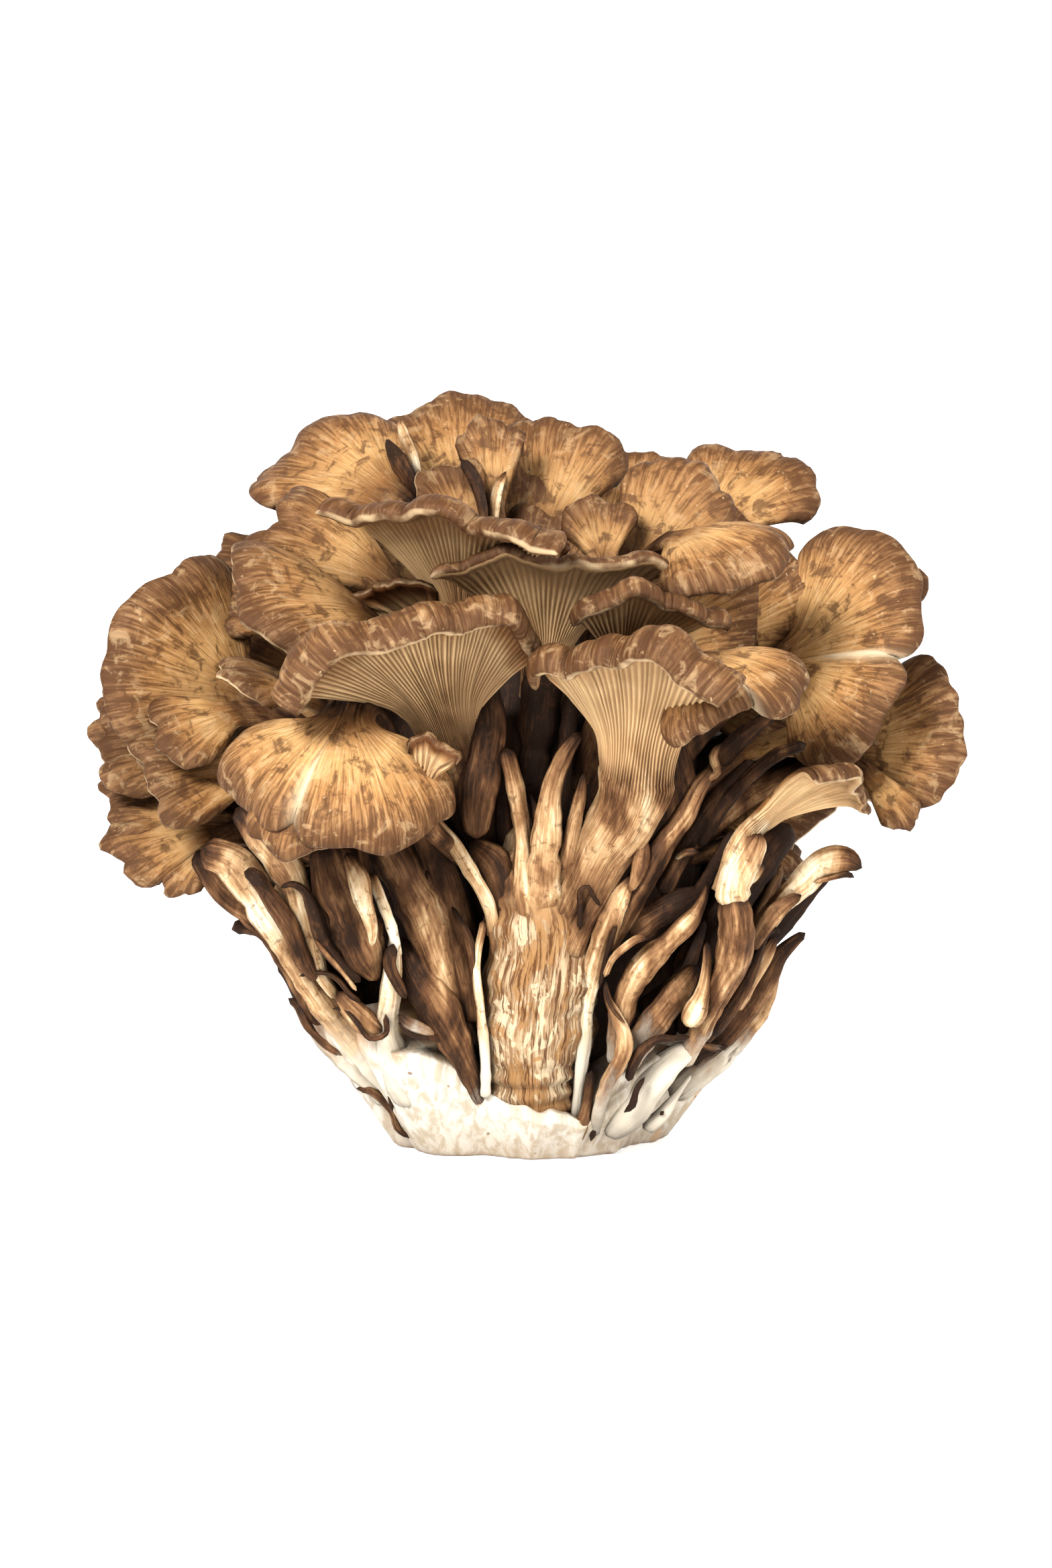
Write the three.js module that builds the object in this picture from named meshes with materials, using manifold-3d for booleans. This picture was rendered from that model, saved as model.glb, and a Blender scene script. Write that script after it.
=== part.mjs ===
// A head of maitake, about 220 mm across: a white cut base, and growing over it a dense cluster of
// stems that flare into waved fronds, brown and streaked above, pale and gilled below.
// Millimetres, +Z up, the cut face on z = 0, the side that faces the viewer towards -Y.
import * as THREE from "three";
import { mergeVertices } from "three/addons/utils/BufferGeometryUtils.js";
import Module from "manifold-3d";

const wasm = await Module();
wasm.setup();

const COLOURS = { base: 0xe9e0cf, fronds: 0x9a6b3c };
const CLEARANCE = 0.3; // between the white base and the brown cluster

// The white base: a block cut flat below, wider above, with lobed sides and an uneven top.
const BASE_HALF_WIDTH = 33;
const BASE_HALF_DEPTH = 24;
const BASE_FRONT_RIM = 15;
const BASE_SIDE_RISE = 18; // how much higher the rim stands at the left and right than in front
const BASE_BACK_RISE = 8;
const BASE_FLARE = 0.7; // how far the side leans out for each mm of height
const BASE_SIDES = 40;

// The dense heart of the cluster, which the stems stand out of: [height, half width, half depth].
const HEART = [
  [10, 26, 20],
  [26, 47, 34],
  [48, 44, 32],
  [80, 48, 34],
  [106, 44, 34],
  [126, 26, 24],
];
const HEART_SET_BACK = 7;
const HEART_SIDES = 14;

// How a frond's rays turn from the stem's line to their own, and where its margin starts to roll.
const RAY_STEPS = 24;
const TURN_SHARE = 0.4;
const CORNER_ROUND = 0.25; // how much shorter the outermost rays are, on fans without gills
const ROLL_FROM = 0.76;
const SEAM_TOLERANCE = 0.2; // mm: how far a point may move where slivers along a join are cleared

// The cluster's fronds, front to back: name, throat, tip, the way the upper side looks, and options.
// The throat is where the stem starts to widen and the tip is the middle of the margin, in mm.
// sweep is half the fan's angle; bend and curl, in degrees, turn it and its margin away from its face.
const FRONDS = [
  // crown
  ["crown_left", [-30, 5, 159], [-57, 35, 173], [0.1, -0.75, 0.65],
    { sweep: 42, bend: 20, curl: 30, wave: 2 }],
  ["crown_back", [-14, 15, 153], [-17, 50, 183], [0, -0.8, 0.6],
    { sweep: 36, bend: 12, curl: 20, wave: 1.5 }],
  ["crown_spoon", [-6.5, -4, 158], [-8.5, 4, 181], [0.1, -0.9, 0.4],
    { sweep: 24, bend: -15, curl: 50, stem: 5 }],
  ["crown_folded", [-11.5, -10, 152], [-21, -4, 170], [0.3, -0.9, 0.3],
    { sweep: 34, bend: -25, curl: 30, gutter: 4 }],
  ["crown_right", [4, 5, 149], [11, 24, 179], [-0.1, -0.85, 0.5],
    { sweep: 34, bend: 15, curl: 40, wave: 1.5 }],
  ["crown_far_low", [19, 30, 140], [20, 50, 166], [0, -0.7, 0.7], { sweep: 32, bend: 20, curl: 30 }],
  ["crown_far", [26, 45, 148], [33, 62, 169], [0, -0.7, 0.7], { sweep: 34, bend: 15, curl: 30 }],
  ["crown_far_right", [46, 36, 148], [67, 58, 168], [-0.2, -0.7, 0.65],
    { sweep: 42, bend: 18, curl: 30, wave: 1.5 }],
  ["crown_fan", [26, -12, 142], [43, -2, 169], [-0.25, -0.85, 0.45],
    { sweep: 30, bend: 20, curl: 70, wave: 1 }],
  ["crown_trumpet", [20, -20, 146], [18, -15, 163], [0, -0.8, 0.6],
    { sweep: 42, bend: -25, curl: 50, gutter: 3 }],
  // right side
  ["right_drooping", [36, -24, 153], [56, -48, 146], [0.1, -0.6, 0.8],
    { sweep: 52, bend: 55, curl: 40, wave: 2 }],
  ["right_great", [54, 3, 119], [97, -14, 127], [-0.25, -0.85, 0.45],
    { sweep: 88, bend: 18, curl: 40, wave: 2, split: [0.08, 3], side: 0.02, lean: -0.24 }],
  ["right_behind", [69, 20, 128], [97, 30, 144], [-0.2, -0.6, 0.75],
    { sweep: 40, bend: 20, curl: 30, wave: 1.5 }],
  ["right_low", [78, 5, 97], [110, -5, 105], [-0.2, -0.9, 0.4],
    { sweep: 38, bend: 15, curl: 25, wave: 2 }],
  ["right_tongue", [86, -5, 94], [96, -15, 82], [0, -0.9, 0.4], { sweep: 20, bend: 20, curl: 30 }],
  ["right_split", [41, -46, 126], [57, -69, 115], [0, -0.75, 0.65],
    { sweep: 66, bend: 55, curl: 40, wave: 1.5, split: [0, 2.5] }],
  // front, seen from below
  ["front_horn_right", [26, -46, 97], [21, -77, 129], [0.45, 0.7, 0.65],
    { sweep: 36, bend: 40, curl: 120, gutter: 5, lean: -0.22, gills: 7, foot: [9, -37, 56], stem: 18,
      footWidth: 14 }],
  ["front_horn_left", [-16, -38, 104], [-21, -72, 136], [-0.38, 0.6, 0.8],
    { sweep: 54, bend: 40, curl: 115, gutter: 4, lean: 0.24, gills: 8, foot: [-3, -25, 58], stem: 14,
      footWidth: 15 }],
  ["front_middle", [6, -24, 123], [8, -49, 151], [0, 0.45, 0.9],
    { sweep: 46, bend: 15, curl: 55, side: -0.15, gills: 7, foot: [4, -15, 78], stem: 12 }],
  ["front_middle_right", [24, -35, 123], [31, -60, 141], [0, 0.5, 0.85],
    { sweep: 42, bend: 30, curl: 90, gills: 5, foot: [12, -15, 80], stem: 10 }],
  ["front_upper_left", [-14, -18, 131], [-22, -49, 160], [0.3, 0.3, 0.95],
    { sweep: 44, bend: 15, curl: 80, side: -0.2, lean: -0.1, gills: 7, foot: [-5, -8, 80], stem: 11 }],
  ["front_flap", [1.5, -18, 145], [7, -26, 155], [0, 0.5, 0.85], { sweep: 32, bend: 10, curl: 20 }],
  ["front_inner_leaf", [-21, -14, 130], [-35, -28, 143], [0, 0.5, 0.85],
    { sweep: 34, bend: 15, curl: 20 }],
  // shaded fronds behind the sides, seen between the front ones
  ["left_shaded_back", [-42, 22, 108], [-80, 26, 118], [0, -0.75, 0.65],
    { sweep: 58, bend: 15, curl: 20 }],
  ["left_shaded_low", [-38, 16, 84], [-76, 16, 86], [0, -0.7, 0.7], { sweep: 44, bend: 15, curl: 20 }],
  ["right_shaded_back", [36, 20, 110], [74, 22, 120], [0, -0.75, 0.65],
    { sweep: 56, bend: 15, curl: 20 }],
  ["right_shaded_low", [34, 14, 84], [78, 12, 92], [0, -0.7, 0.7], { sweep: 40, bend: 15, curl: 20 }],
  // front left and left side
  ["hero_cap", [-41, -52, 115], [-47, -74, 85], [0, -0.7, 0.7],
    { sweep: 100, bend: 62, curl: 30, wave: 2, split: [0.15, 3], side: 0.15, foot: [-12, -28, 40],
      stem: 13 }],
  ["left_shelf", [-48, -42, 115], [-71, -52, 124], [0, -0.3, 0.95],
    { sweep: 28, bend: 25, curl: 30, foot: [-14, -14, 72] }],
  ["left_middle", [-36, -18, 132], [-68, -42, 141], [-0.3, -0.7, 0.65],
    { sweep: 42, bend: 40, curl: 30, wave: 2 }],
  ["left_shaded", [-31, -8, 139], [-63, -5, 157], [-0.1, -0.5, 0.85],
    { sweep: 36, bend: 30, curl: 40, wave: 2 }],
  ["left_lobe_upper", [-54, 15, 134], [-77, 15, 146], [-0.2, -0.6, 0.75],
    { sweep: 34, bend: 30, curl: 30 }],
  ["left_lobe_lower", [-52, 4, 130], [-75, 4, 137], [-0.2, -0.7, 0.7], { sweep: 30, bend: 30, curl: 30 }],
  ["left_great", [-66, 0, 110], [-99, -13, 132], [0.25, -0.85, 0.45],
    { sweep: 72, bend: 18, curl: 40, wave: 2.5 }],
  ["left_oval", [-69, -22, 111], [-88, -35, 106], [0, -0.8, 0.6], { sweep: 36, bend: 30, curl: 20 }],
  ["left_stack_upper", [-75, 8, 101], [-107, 2, 107], [0.1, -0.7, 0.7],
    { sweep: 28, bend: 30, curl: 20 }],
  ["left_stack_lower", [-73, -2, 98], [-105, -8, 100], [0.1, -0.7, 0.7],
    { sweep: 30, bend: 30, curl: 20 }],
  ["left_plate", [-63, -15, 96], [-93, -29, 97], [0, -0.7, 0.7], { sweep: 38, bend: 30, curl: 20 }],
  ["left_curl_upper", [-74, -2, 82], [-104, -5, 87], [0, -0.6, 0.8],
    { sweep: 28, bend: 30, curl: 30, gutter: 2 }],
  ["left_curl_middle", [-74, -8, 80], [-102, -14, 77], [0, -0.8, 0.6],
    { sweep: 30, bend: 30, curl: 30, gutter: 2 }],
  ["left_curl_lower", [-76, -12, 78], [-88, -18, 67], [0, -0.9, 0.4], { sweep: 28, bend: 20, curl: 30 }],
];

// Slim stems and fingers of the front: name, foot, throat, tip, width in mm and options.
const FINGERS = [
  // trunk and the fingers on it
  ["trunk", [2, -12, 8], [4, -30, 44], [5, -34, 77], 32, { footWidth: 30, thick: 17 }],
  ["trunk_finger_left", [5, -34, 60], [0, -40, 88], [-5, -41, 106], 7, { thick: 5 }],
  ["trunk_finger_right", [9, -34, 60], [10, -41, 90], [13, -43, 108], 7, { thick: 5 }],
  ["trunk_finger_small", [12, -32, 60], [14, -38, 84], [15, -38, 99], 6, { thick: 4 }],
  ["trunk_side_left", [-10, -28, 12], [-14, -36, 45], [-25, -42, 76], 10, { thick: 7 }],
  ["trunk_strap_right", [14, -30, 24], [24, -38, 58], [29, -42, 78], 9, { thick: 4 }],
  ["trunk_curl_right", [19, -27, 12], [27, -36, 32], [21, -37, 51], 7, { thick: 4 }],
  // left
  ["left_panel", [-14, -20, 20], [-25, -33, 55], [-35, -42, 90], 17, { thick: 9 }],
  ["left_mottled", [-22, -20, 22], [-42, -38, 56], [-49, -50, 86], 14, { thick: 8 }],
  ["left_strap", [-26, -18, 20], [-56, -32, 62], [-61, -38, 82], 10, { thick: 6 }],
  ["left_gilled", [-32, -16, 18], [-62, -32, 66], [-82, -36, 80], 11, { thick: 6, sweep: 14 }],
  ["left_under", [-34, -10, 20], [-66, -14, 58], [-87, -18, 70], 10, { thick: 5, sweep: 14 }],
  ["left_finger", [-36, -8, 22], [-56, -12, 50], [-73, -12, 56], 7, { thick: 4 }],
  ["left_nub", [-34, -14, 14], [-50, -14, 34], [-59, -12, 42], 8, { thick: 5 }],
  // right
  ["right_twisted", [34, -22, 22], [52, -44, 74], [84, -46, 87], 12,
    { thick: 7, sweep: 26, bend: 40, curl: 60, face: [0, 0.2, 1] }],
  ["right_bulb", [32, -16, 24], [62, -24, 66], [84, -24, 74], 12, { thick: 7, sweep: 14, bend: 30 }],
  ["right_under_cap", [40, -16, 40], [66, -34, 82], [87, -36, 85], 9,
    { thick: 4, sweep: 22, bend: 30, curl: 40 }],
  ["right_branch", [24, -22, 20], [40, -34, 52], [45, -34, 63], 12, { thick: 8 }],
  ["right_shaded", [20, -16, 40], [38, -32, 72], [48, -36, 91], 11, { thick: 8 }],
  ["right_shaded_upper", [24, -12, 50], [48, -26, 84], [72, -32, 100], 9, { thick: 6, sweep: 10 }],
  ["right_shaded_lower", [26, -12, 44], [50, -24, 76], [70, -30, 90], 8, { thick: 6 }],
  ["right_finger", [36, -8, 24], [58, -12, 42], [71, -10, 56], 10, { thick: 5 }],
  ["right_finger_inner", [34, -14, 24], [54, -20, 44], [63, -22, 55], 9, { thick: 5 }],
  ["right_finger_low", [32, -10, 14], [52, -10, 30], [62, -8, 42], 10, { thick: 5 }],
  ["right_strap", [26, -22, 14], [34, -30, 26], [43, -30, 30], 5, { thick: 3 }],
];

// The side away from the viewer, in tiers that a seeded draw loosens: height of the tier's lean above
// the level, reach from the cluster's centre, the arc it fills and how many fronds it has.
const BACK_CENTRE = [0, 4, 78];
const BACK_TIERS = [
  { lean: 52, reach: 84, from: 55, to: 150, count: 3 },
  { lean: 30, reach: 90, from: 22, to: 165, count: 5 },
  { lean: 10, reach: 96, from: 8, to: 172, count: 6 },
  { lean: -10, reach: 84, from: 20, to: 160, count: 5 },
];
const BACK_SKIRT = { from: 0, to: 180, count: 8, reach: 66, height: 52 };

const vec = (p) => new THREE.Vector3(...p);
const lerp = THREE.MathUtils.lerp;
const radians = THREE.MathUtils.degToRad;
const clamp = THREE.MathUtils.clamp;
const smooth = (t) => THREE.MathUtils.smoothstep(t, 0, 1);
const along = (p, ...steps) => {
  const made = p.clone();
  for (let i = 0; i < steps.length; i += 2) made.addScaledVector(steps[i], steps[i + 1]);
  return made;
};

// A repeatable draw from 0 to 1 for a whole number.
function draw(n) {
  const x = Math.sin(n * 12.9898 + 4.1414) * 43758.5453;
  return x - Math.floor(x);
}

// How many strips a fan of a given sweep is made of.
const columnCount = (sweep) => (sweep > 58 ? 7 : sweep > 38 ? 5 : 4);

// What a frond is made of, from its few given values. A frond with no foot of its own starts inside
// the heart, part of the way along a stem from the cluster's axis.
function frondOf(index, name, throat, tip, face, options) {
  const reach = vec(throat).distanceTo(vec(tip));
  const stem = options.stem ?? clamp(0.3 * reach, 5, 12);
  const rule = {
    sweep: 40, bend: 20, curl: 20, gutter: 0, wave: 1, waves: 1.5, side: 0.1, lean: 0, gills: 0,
    stem, footWidth: stem * 1.15, thick: clamp(0.09 * reach, 2.4, 3.8),
    columns: columnCount(options.sweep), from: options.foot ? -1 : -0.6,
  };
  const foot = options.foot ?? [0.25 * throat[0], 0.25 * throat[1], 38 + 0.35 * (throat[2] - 38)];
  const places = { throat: vec(throat), tip: vec(tip), face: vec(face), foot: vec(foot) };
  return { index, name, ...rule, ...options, ...places };
}

// A finger is a frond with a narrow tip; its face looks up and towards the viewer.
function fingerOf(index, name, foot, throat, tip, width, options) {
  const shape = {
    sweep: 3, bend: 15, curl: 10, side: 0.35, wave: 0.3, finger: true, columns: 3, stem: width,
    footWidth: width * 1.2,
  };
  return frondOf(index, name, throat, tip, options.face ?? [0, -0.8, 0.6], { ...shape, ...options, foot });
}

// Points away from the viewer, by compass angle from +X towards +Y and lean above the level.
function heading(angle, lean) {
  const level = Math.cos(radians(lean));
  const turn = radians(angle);
  return new THREE.Vector3(Math.cos(turn) * level, Math.sin(turn) * level, Math.sin(radians(lean)));
}

function backFronds(firstIndex) {
  const made = [];
  const centre = vec(BACK_CENTRE);
  BACK_TIERS.forEach(({ lean, reach, from, to, count }, tier) => {
    for (let i = 0; i < count; i++) {
      const index = firstIndex + made.length;
      const angle = lerp(from, to, (i + 0.5) / count) + 8 * (draw(index) - 0.5);
      const far = reach * (0.92 + 0.14 * draw(index + 100));
      const throat = along(centre, heading(angle, lean + 9), far * 0.55);
      const tip = along(centre, heading(angle + 10 * (draw(index + 200) - 0.5), lean - 7), far);
      const face = along(new THREE.Vector3(0, 0, 0.85), heading(angle, 0), 0.35);
      made.push(frondOf(index, `back_${tier}_${i}`, throat.toArray(), tip.toArray(), face.toArray(), {
        sweep: 44 + 26 * draw(index + 300), bend: 35 + 25 * draw(index + 400),
        curl: 20 + 50 * draw(index + 500),
        wave: 1.5 + draw(index + 600), waves: 1.3 + draw(index + 700), stem: 10, columns: 4,
      }));
    }
  });
  const { from, to, count, reach, height } = BACK_SKIRT;
  for (let i = 0; i < count; i++) {
    const index = firstIndex + made.length;
    const out = heading(lerp(from, to, i / (count - 1)) + 10 * (draw(index) - 0.5), 0);
    const far = reach * (0.85 + 0.3 * draw(index + 100));
    const rise = height * (0.7 + 0.6 * draw(index + 200));
    const foot = out.clone().multiplyScalar(30).setZ(14);
    const throat = out.clone().multiplyScalar(far * 0.72).setZ(rise * 0.72);
    const tip = out.clone().multiplyScalar(far).setZ(rise);
    const face = along(new THREE.Vector3(0, 0, 0.7), out, 0.7).toArray();
    made.push(fingerOf(index, `skirt_${i}`, foot.toArray(), throat.toArray(), tip.toArray(), 12,
      { thick: 7, face, sweep: 8 }));
  }
  return made;
}

// Angle in radians by which a ray has bent away from the face at a share q of its length.
function bendAt(frond, q) {
  return radians(frond.bend * q ** 1.2 + frond.curl * smooth((q - ROLL_FROM) / (1 - ROLL_FROM)));
}

// The stem's end frame: axis along the frond, normal out of its face, across to its right.
function setFrame(frond) {
  const chord = frond.tip.clone().sub(frond.throat);
  const line = chord.clone().normalize();
  const lift = along(frond.face, line, -frond.face.dot(line)).normalize();
  let ahead = 0;
  let down = 0;
  for (let i = 0; i < RAY_STEPS; i++) {
    const turn = bendAt(frond, (i + 0.5) / RAY_STEPS);
    ahead += Math.cos(turn) / RAY_STEPS;
    down += Math.sin(turn) / RAY_STEPS;
  }
  const rise = Math.atan2(down, ahead);
  frond.ray = chord.length() / Math.hypot(ahead, down);
  frond.axis = line.clone().multiplyScalar(Math.cos(rise)).addScaledVector(lift, Math.sin(rise));
  frond.normal = lift.clone().multiplyScalar(Math.cos(rise)).addScaledVector(line, -Math.sin(rise));
  frond.across = frond.axis.clone().cross(frond.normal);
}

// The stem's stations from its foot to the throat, each a point with its own normal and across.
const STEM_STEPS = 12;
function setStem(frond) {
  const { foot, throat, axis } = frond;
  const span = foot.distanceTo(throat);
  const start = throat.clone().sub(foot).add(new THREE.Vector3(0, 0, 0.35 * span));
  const end = axis.clone().multiplyScalar(0.8 * span);
  const points = [];
  for (let i = 0; i <= STEM_STEPS; i++) {
    const t = i / STEM_STEPS;
    points.push(
      foot.clone().multiplyScalar(2 * t ** 3 - 3 * t ** 2 + 1)
        .addScaledVector(start, t ** 3 - 2 * t ** 2 + t)
        .addScaledVector(throat, 3 * t ** 2 - 2 * t ** 3)
        .addScaledVector(end, t ** 3 - t ** 2),
    );
  }
  frond.stations = [];
  let normal = frond.normal.clone();
  for (let i = STEM_STEPS; i >= 0; i--) {
    const ahead = i === STEM_STEPS ? axis.clone()
      : points[i + 1].clone().sub(points[Math.max(i - 1, 0)]).normalize();
    normal = along(normal, ahead, -normal.dot(ahead)).normalize();
    frond.stations[i] = { point: points[i], normal: normal.clone(), across: ahead.clone().cross(normal) };
  }
}

function stemAt(frond, t) {
  const place = clamp(t, 0, 1) * STEM_STEPS;
  const i = Math.min(Math.floor(place), STEM_STEPS - 1);
  const [a, b] = [frond.stations[i], frond.stations[i + 1]];
  const mix = (key) => a[key].clone().lerp(b[key], place - i);
  return { point: mix("point"), normal: mix("normal").normalize(), across: mix("across").normalize() };
}

// The point on the frond's middle surface: u runs across it from -1 to 1, s from -1 at the foot
// through 0 at the throat to 1 at the margin.
function middle(frond, u, s) {
  if (s <= 0) {
    const t = smooth(1 + s);
    const { point, normal, across } = stemAt(frond, 1 + s);
    const half = lerp(frond.footWidth, frond.stem, t) / 2;
    return along(point, across, u * half, normal, frond.gutter * u * u * t);
  }
  const { axis, normal, across, index } = frond;
  const split = frond.split ?? [0, 0];
  const notch = split[1] ? 0.12 * Math.exp(-(((u - split[0]) / 0.06) ** 2)) : 0;
  const ragged = 0.05 * Math.sin(5.3 * u + index) + 0.03 * Math.sin(11 * u + 2.3 * index);
  const corner = frond.gills ? 0 : CORNER_ROUND * u ** 8;
  const edge = frond.finger ? 0 : ragged - corner;
  const length = frond.ray * (1 - frond.side * u * u + frond.lean * u - notch + edge);
  const point = along(frond.throat, across, (u * frond.stem) / 2);
  const step = length / RAY_STEPS;
  for (let i = 0; i < RAY_STEPS * s; i++) {
    const share = Math.min(RAY_STEPS * s - i, 1);
    const q = (i + 0.5 * share) / RAY_STEPS;
    const turn = radians(frond.sweep) * u * smooth(q / TURN_SHARE);
    const bent = bendAt(frond, q);
    const flat = step * share * Math.cos(bent);
    point.addScaledVector(axis, flat * Math.cos(turn)).addScaledVector(across, flat * Math.sin(turn));
    point.addScaledVector(normal, -step * share * Math.sin(bent));
  }
  const waved = frond.wave * s * s * Math.sin(Math.PI * frond.waves * u + 1.7 * index);
  const stepped = split[1] * s * s * smooth((u - split[0]) / 0.12 + 0.5);
  return point.addScaledVector(normal, frond.gutter * u * u * (1 - s) + waved + stepped);
}

function surfaceNormal(frond, u, s) {
  const d = 0.02;
  const low = Math.max(s - d, -1);
  const high = Math.min(s + d, 1);
  const over = middle(frond, u + d, s).sub(middle(frond, u - d, s));
  const on = middle(frond, u, high).sub(middle(frond, u, low));
  return over.cross(on).normalize();
}

// Half of the flesh's thickness: round at the stem, and blunt along the fan's edges and margin.
function halfThickness(frond, u, s) {
  const throat = Math.max(1.6 * frond.thick, frond.finger ? frond.thick : 0.42 * frond.stem);
  const foot = frond.finger ? frond.thick * 1.15 : 0.7 * frond.footWidth;
  const full = s <= 0 ? lerp(foot, throat, smooth(1 + s)) : lerp(throat, frond.thick, Math.sqrt(s));
  const blunt = s <= 0 ? 2 : 2 + 4 * s;
  const edge = Math.max(1 - Math.abs(u) ** blunt, 0) ** (1 / blunt);
  return (full / 2) * edge;
}

// The shares of a frond's width and length where its grid has points. A gilled frond's are evenly
// spaced, with every second one on the lower side drawn out into a ridge.
function columnsOf(frond) {
  const count = frond.gills ? 2 * frond.gills : frond.columns;
  const crowding = frond.gills || frond.finger ? 1 : 1.35;
  return Array.from({ length: count + 1 }, (_, i) => {
    const x = (2 * i) / count - 1;
    return Math.sign(x) * (1 - (1 - Math.abs(x)) ** crowding);
  });
}

function rowsOf(frond) {
  if (frond.finger && frond.sweep < 10) return [-1, -0.3, 0.2, 1];
  if (frond.gills) return [-0.9, -0.2, 0.3, 0.78, 1];
  return [frond.from, 0, 0.4, 0.78, 1];
}

const GILL_DEPTH = 1.1;
function gillAt(frond, column, s) {
  if (!frond.gills || column % 2 || s < -0.5 || s > 0.8) return 0;
  return GILL_DEPTH;
}

// One frond as a closed solid: an upper and a lower grid that share their edges and margin.
function frondSolid(frond) {
  setFrame(frond);
  setStem(frond);
  const us = columnsOf(frond);
  const rows = rowsOf(frond);
  const last = us.length - 1;
  const points = [];
  const keep = (p) => points.push(p) - 1;
  const upper = [];
  const lower = [];
  rows.forEach((s, j) => {
    upper[j] = [];
    lower[j] = [];
    us.forEach((u, k) => {
      const centre = middle(frond, u, s);
      const shared = k === 0 || k === last || j === rows.length - 1;
      if (shared) {
        upper[j][k] = lower[j][k] = keep(centre);
        return;
      }
      const out = surfaceNormal(frond, u, s);
      const half = halfThickness(frond, u, s);
      upper[j][k] = keep(along(centre, out, half));
      lower[j][k] = keep(along(centre, out, -half - gillAt(frond, k, s)));
    });
  });
  const faces = [];
  for (let j = 0; j < rows.length - 1; j++) {
    for (let k = 0; k < last; k++) {
      const [a, b, c, d] = [upper[j][k], upper[j][k + 1], upper[j + 1][k + 1], upper[j + 1][k]];
      const [e, f, g, h] = [lower[j][k], lower[j][k + 1], lower[j + 1][k + 1], lower[j + 1][k]];
      faces.push([a, b, c], [a, c, d], [e, g, f], [e, h, g]);
    }
  }
  const end = keep(stemAt(frond, 1 + rows[0]).point);
  for (let k = 0; k < last; k++) {
    faces.push([end, upper[0][k + 1], upper[0][k]], [end, lower[0][k], lower[0][k + 1]]);
  }
  return solidOf(points, faces);
}

// A closed mesh of points and faces as a solid that can be joined and cut.
function solidOf(points, faces) {
  const geometry = new THREE.BufferGeometry().setFromPoints(points);
  geometry.setIndex(faces.flat());
  const merged = mergeVertices(geometry, 1e-4);
  const triVerts = new Uint32Array(merged.index.array.length);
  let kept = 0;
  for (let i = 0; i < merged.index.array.length; i += 3) {
    const [a, b, c] = merged.index.array.slice(i, i + 3);
    if (a !== b && b !== c && c !== a) triVerts.set([a, b, c], kept++ * 3);
  }
  return new wasm.Manifold(new wasm.Mesh({
    numProp: 3,
    vertProperties: merged.attributes.position.array,
    triVerts: triVerts.slice(0, kept * 3),
  }));
}

// Rings of points, lowest first, closed below and above by a middle point.
function stackedSolid(rings, bottom, top) {
  const sides = rings[0].length;
  const points = [bottom, top, ...rings.flat()];
  const at = (ring, i) => 2 + ring * sides + (i % sides);
  const faces = [];
  for (let i = 0; i < sides; i++) {
    faces.push([0, at(0, i + 1), at(0, i)]);
    faces.push([1, at(rings.length - 1, i), at(rings.length - 1, i + 1)]);
    for (let r = 0; r < rings.length - 1; r++) {
      faces.push([at(r, i), at(r, i + 1), at(r + 1, i + 1)], [at(r, i), at(r + 1, i + 1), at(r + 1, i)]);
    }
  }
  return solidOf(points, faces);
}

// How far the base's side stands in or out of its ellipse, and how high its rim is, at an angle.
const baseLobe = (angle) => 1 + 0.05 * Math.sin(5 * angle + 1) + 0.035 * Math.sin(9 * angle + 2);
function baseRim(angle) {
  const rise = BASE_SIDE_RISE * Math.cos(angle) ** 2 + BASE_BACK_RISE * Math.max(Math.sin(angle), 0) ** 2;
  return BASE_FRONT_RIM + rise + 3.5 * Math.sin(7 * angle + 0.5);
}

// The white base, grown by a clearance where it serves as a cutter.
function baseSolid(grown) {
  const ring = (share, width, inset) => Array.from({ length: BASE_SIDES }, (_, i) => {
    const angle = (2 * Math.PI * i) / BASE_SIDES;
    const height = share * baseRim(angle) + grown * Math.sign(share);
    const lobe = lerp(1, baseLobe(angle), inset);
    const out = width * (1 + (BASE_FLARE * height) / BASE_HALF_WIDTH) * lobe;
    const depth = BASE_HALF_DEPTH * (1 + (BASE_FLARE * height) / BASE_HALF_DEPTH) * lobe;
    return new THREE.Vector3(
      Math.cos(angle) * (BASE_HALF_WIDTH * out + grown),
      Math.sin(angle) * (width * depth + grown),
      share === 0 ? -grown : height,
    );
  });
  const rings = [ring(0, 0.97, 1), ring(0.12, 1, 1), ring(0.6, 1, 1), ring(1, 0.99, 1), ring(1.1, 0.9, 1),
    ring(1.05, 0.5, 0.5)];
  return stackedSolid(rings, new THREE.Vector3(0, 0, -grown),
    new THREE.Vector3(0, 0, BASE_FRONT_RIM + grown));
}

function heartSolid() {
  const rings = HEART.map(([height, halfWidth, halfDepth], r) =>
    Array.from({ length: HEART_SIDES }, (_, i) => {
      const angle = (2 * Math.PI * (i + 0.5 * (r % 2))) / HEART_SIDES;
      const lobe = 1 + 0.08 * Math.sin(3 * angle + r);
      const depth = HEART_SET_BACK + Math.sin(angle) * halfDepth * lobe;
      return new THREE.Vector3(Math.cos(angle) * halfWidth * lobe, depth, height);
    }));
  const [low, high] = [HEART[0][0], HEART[HEART.length - 1][0]];
  return stackedSolid(rings, new THREE.Vector3(0, HEART_SET_BACK, low),
    new THREE.Vector3(0, HEART_SET_BACK, high + 3));
}

// The largest body of a solid; a scrap that a cut leaves loose is dropped.
function largest(solid) {
  return solid.decompose().reduce((best, body) => (body.volume() > best.volume() ? body : best));
}

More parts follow.
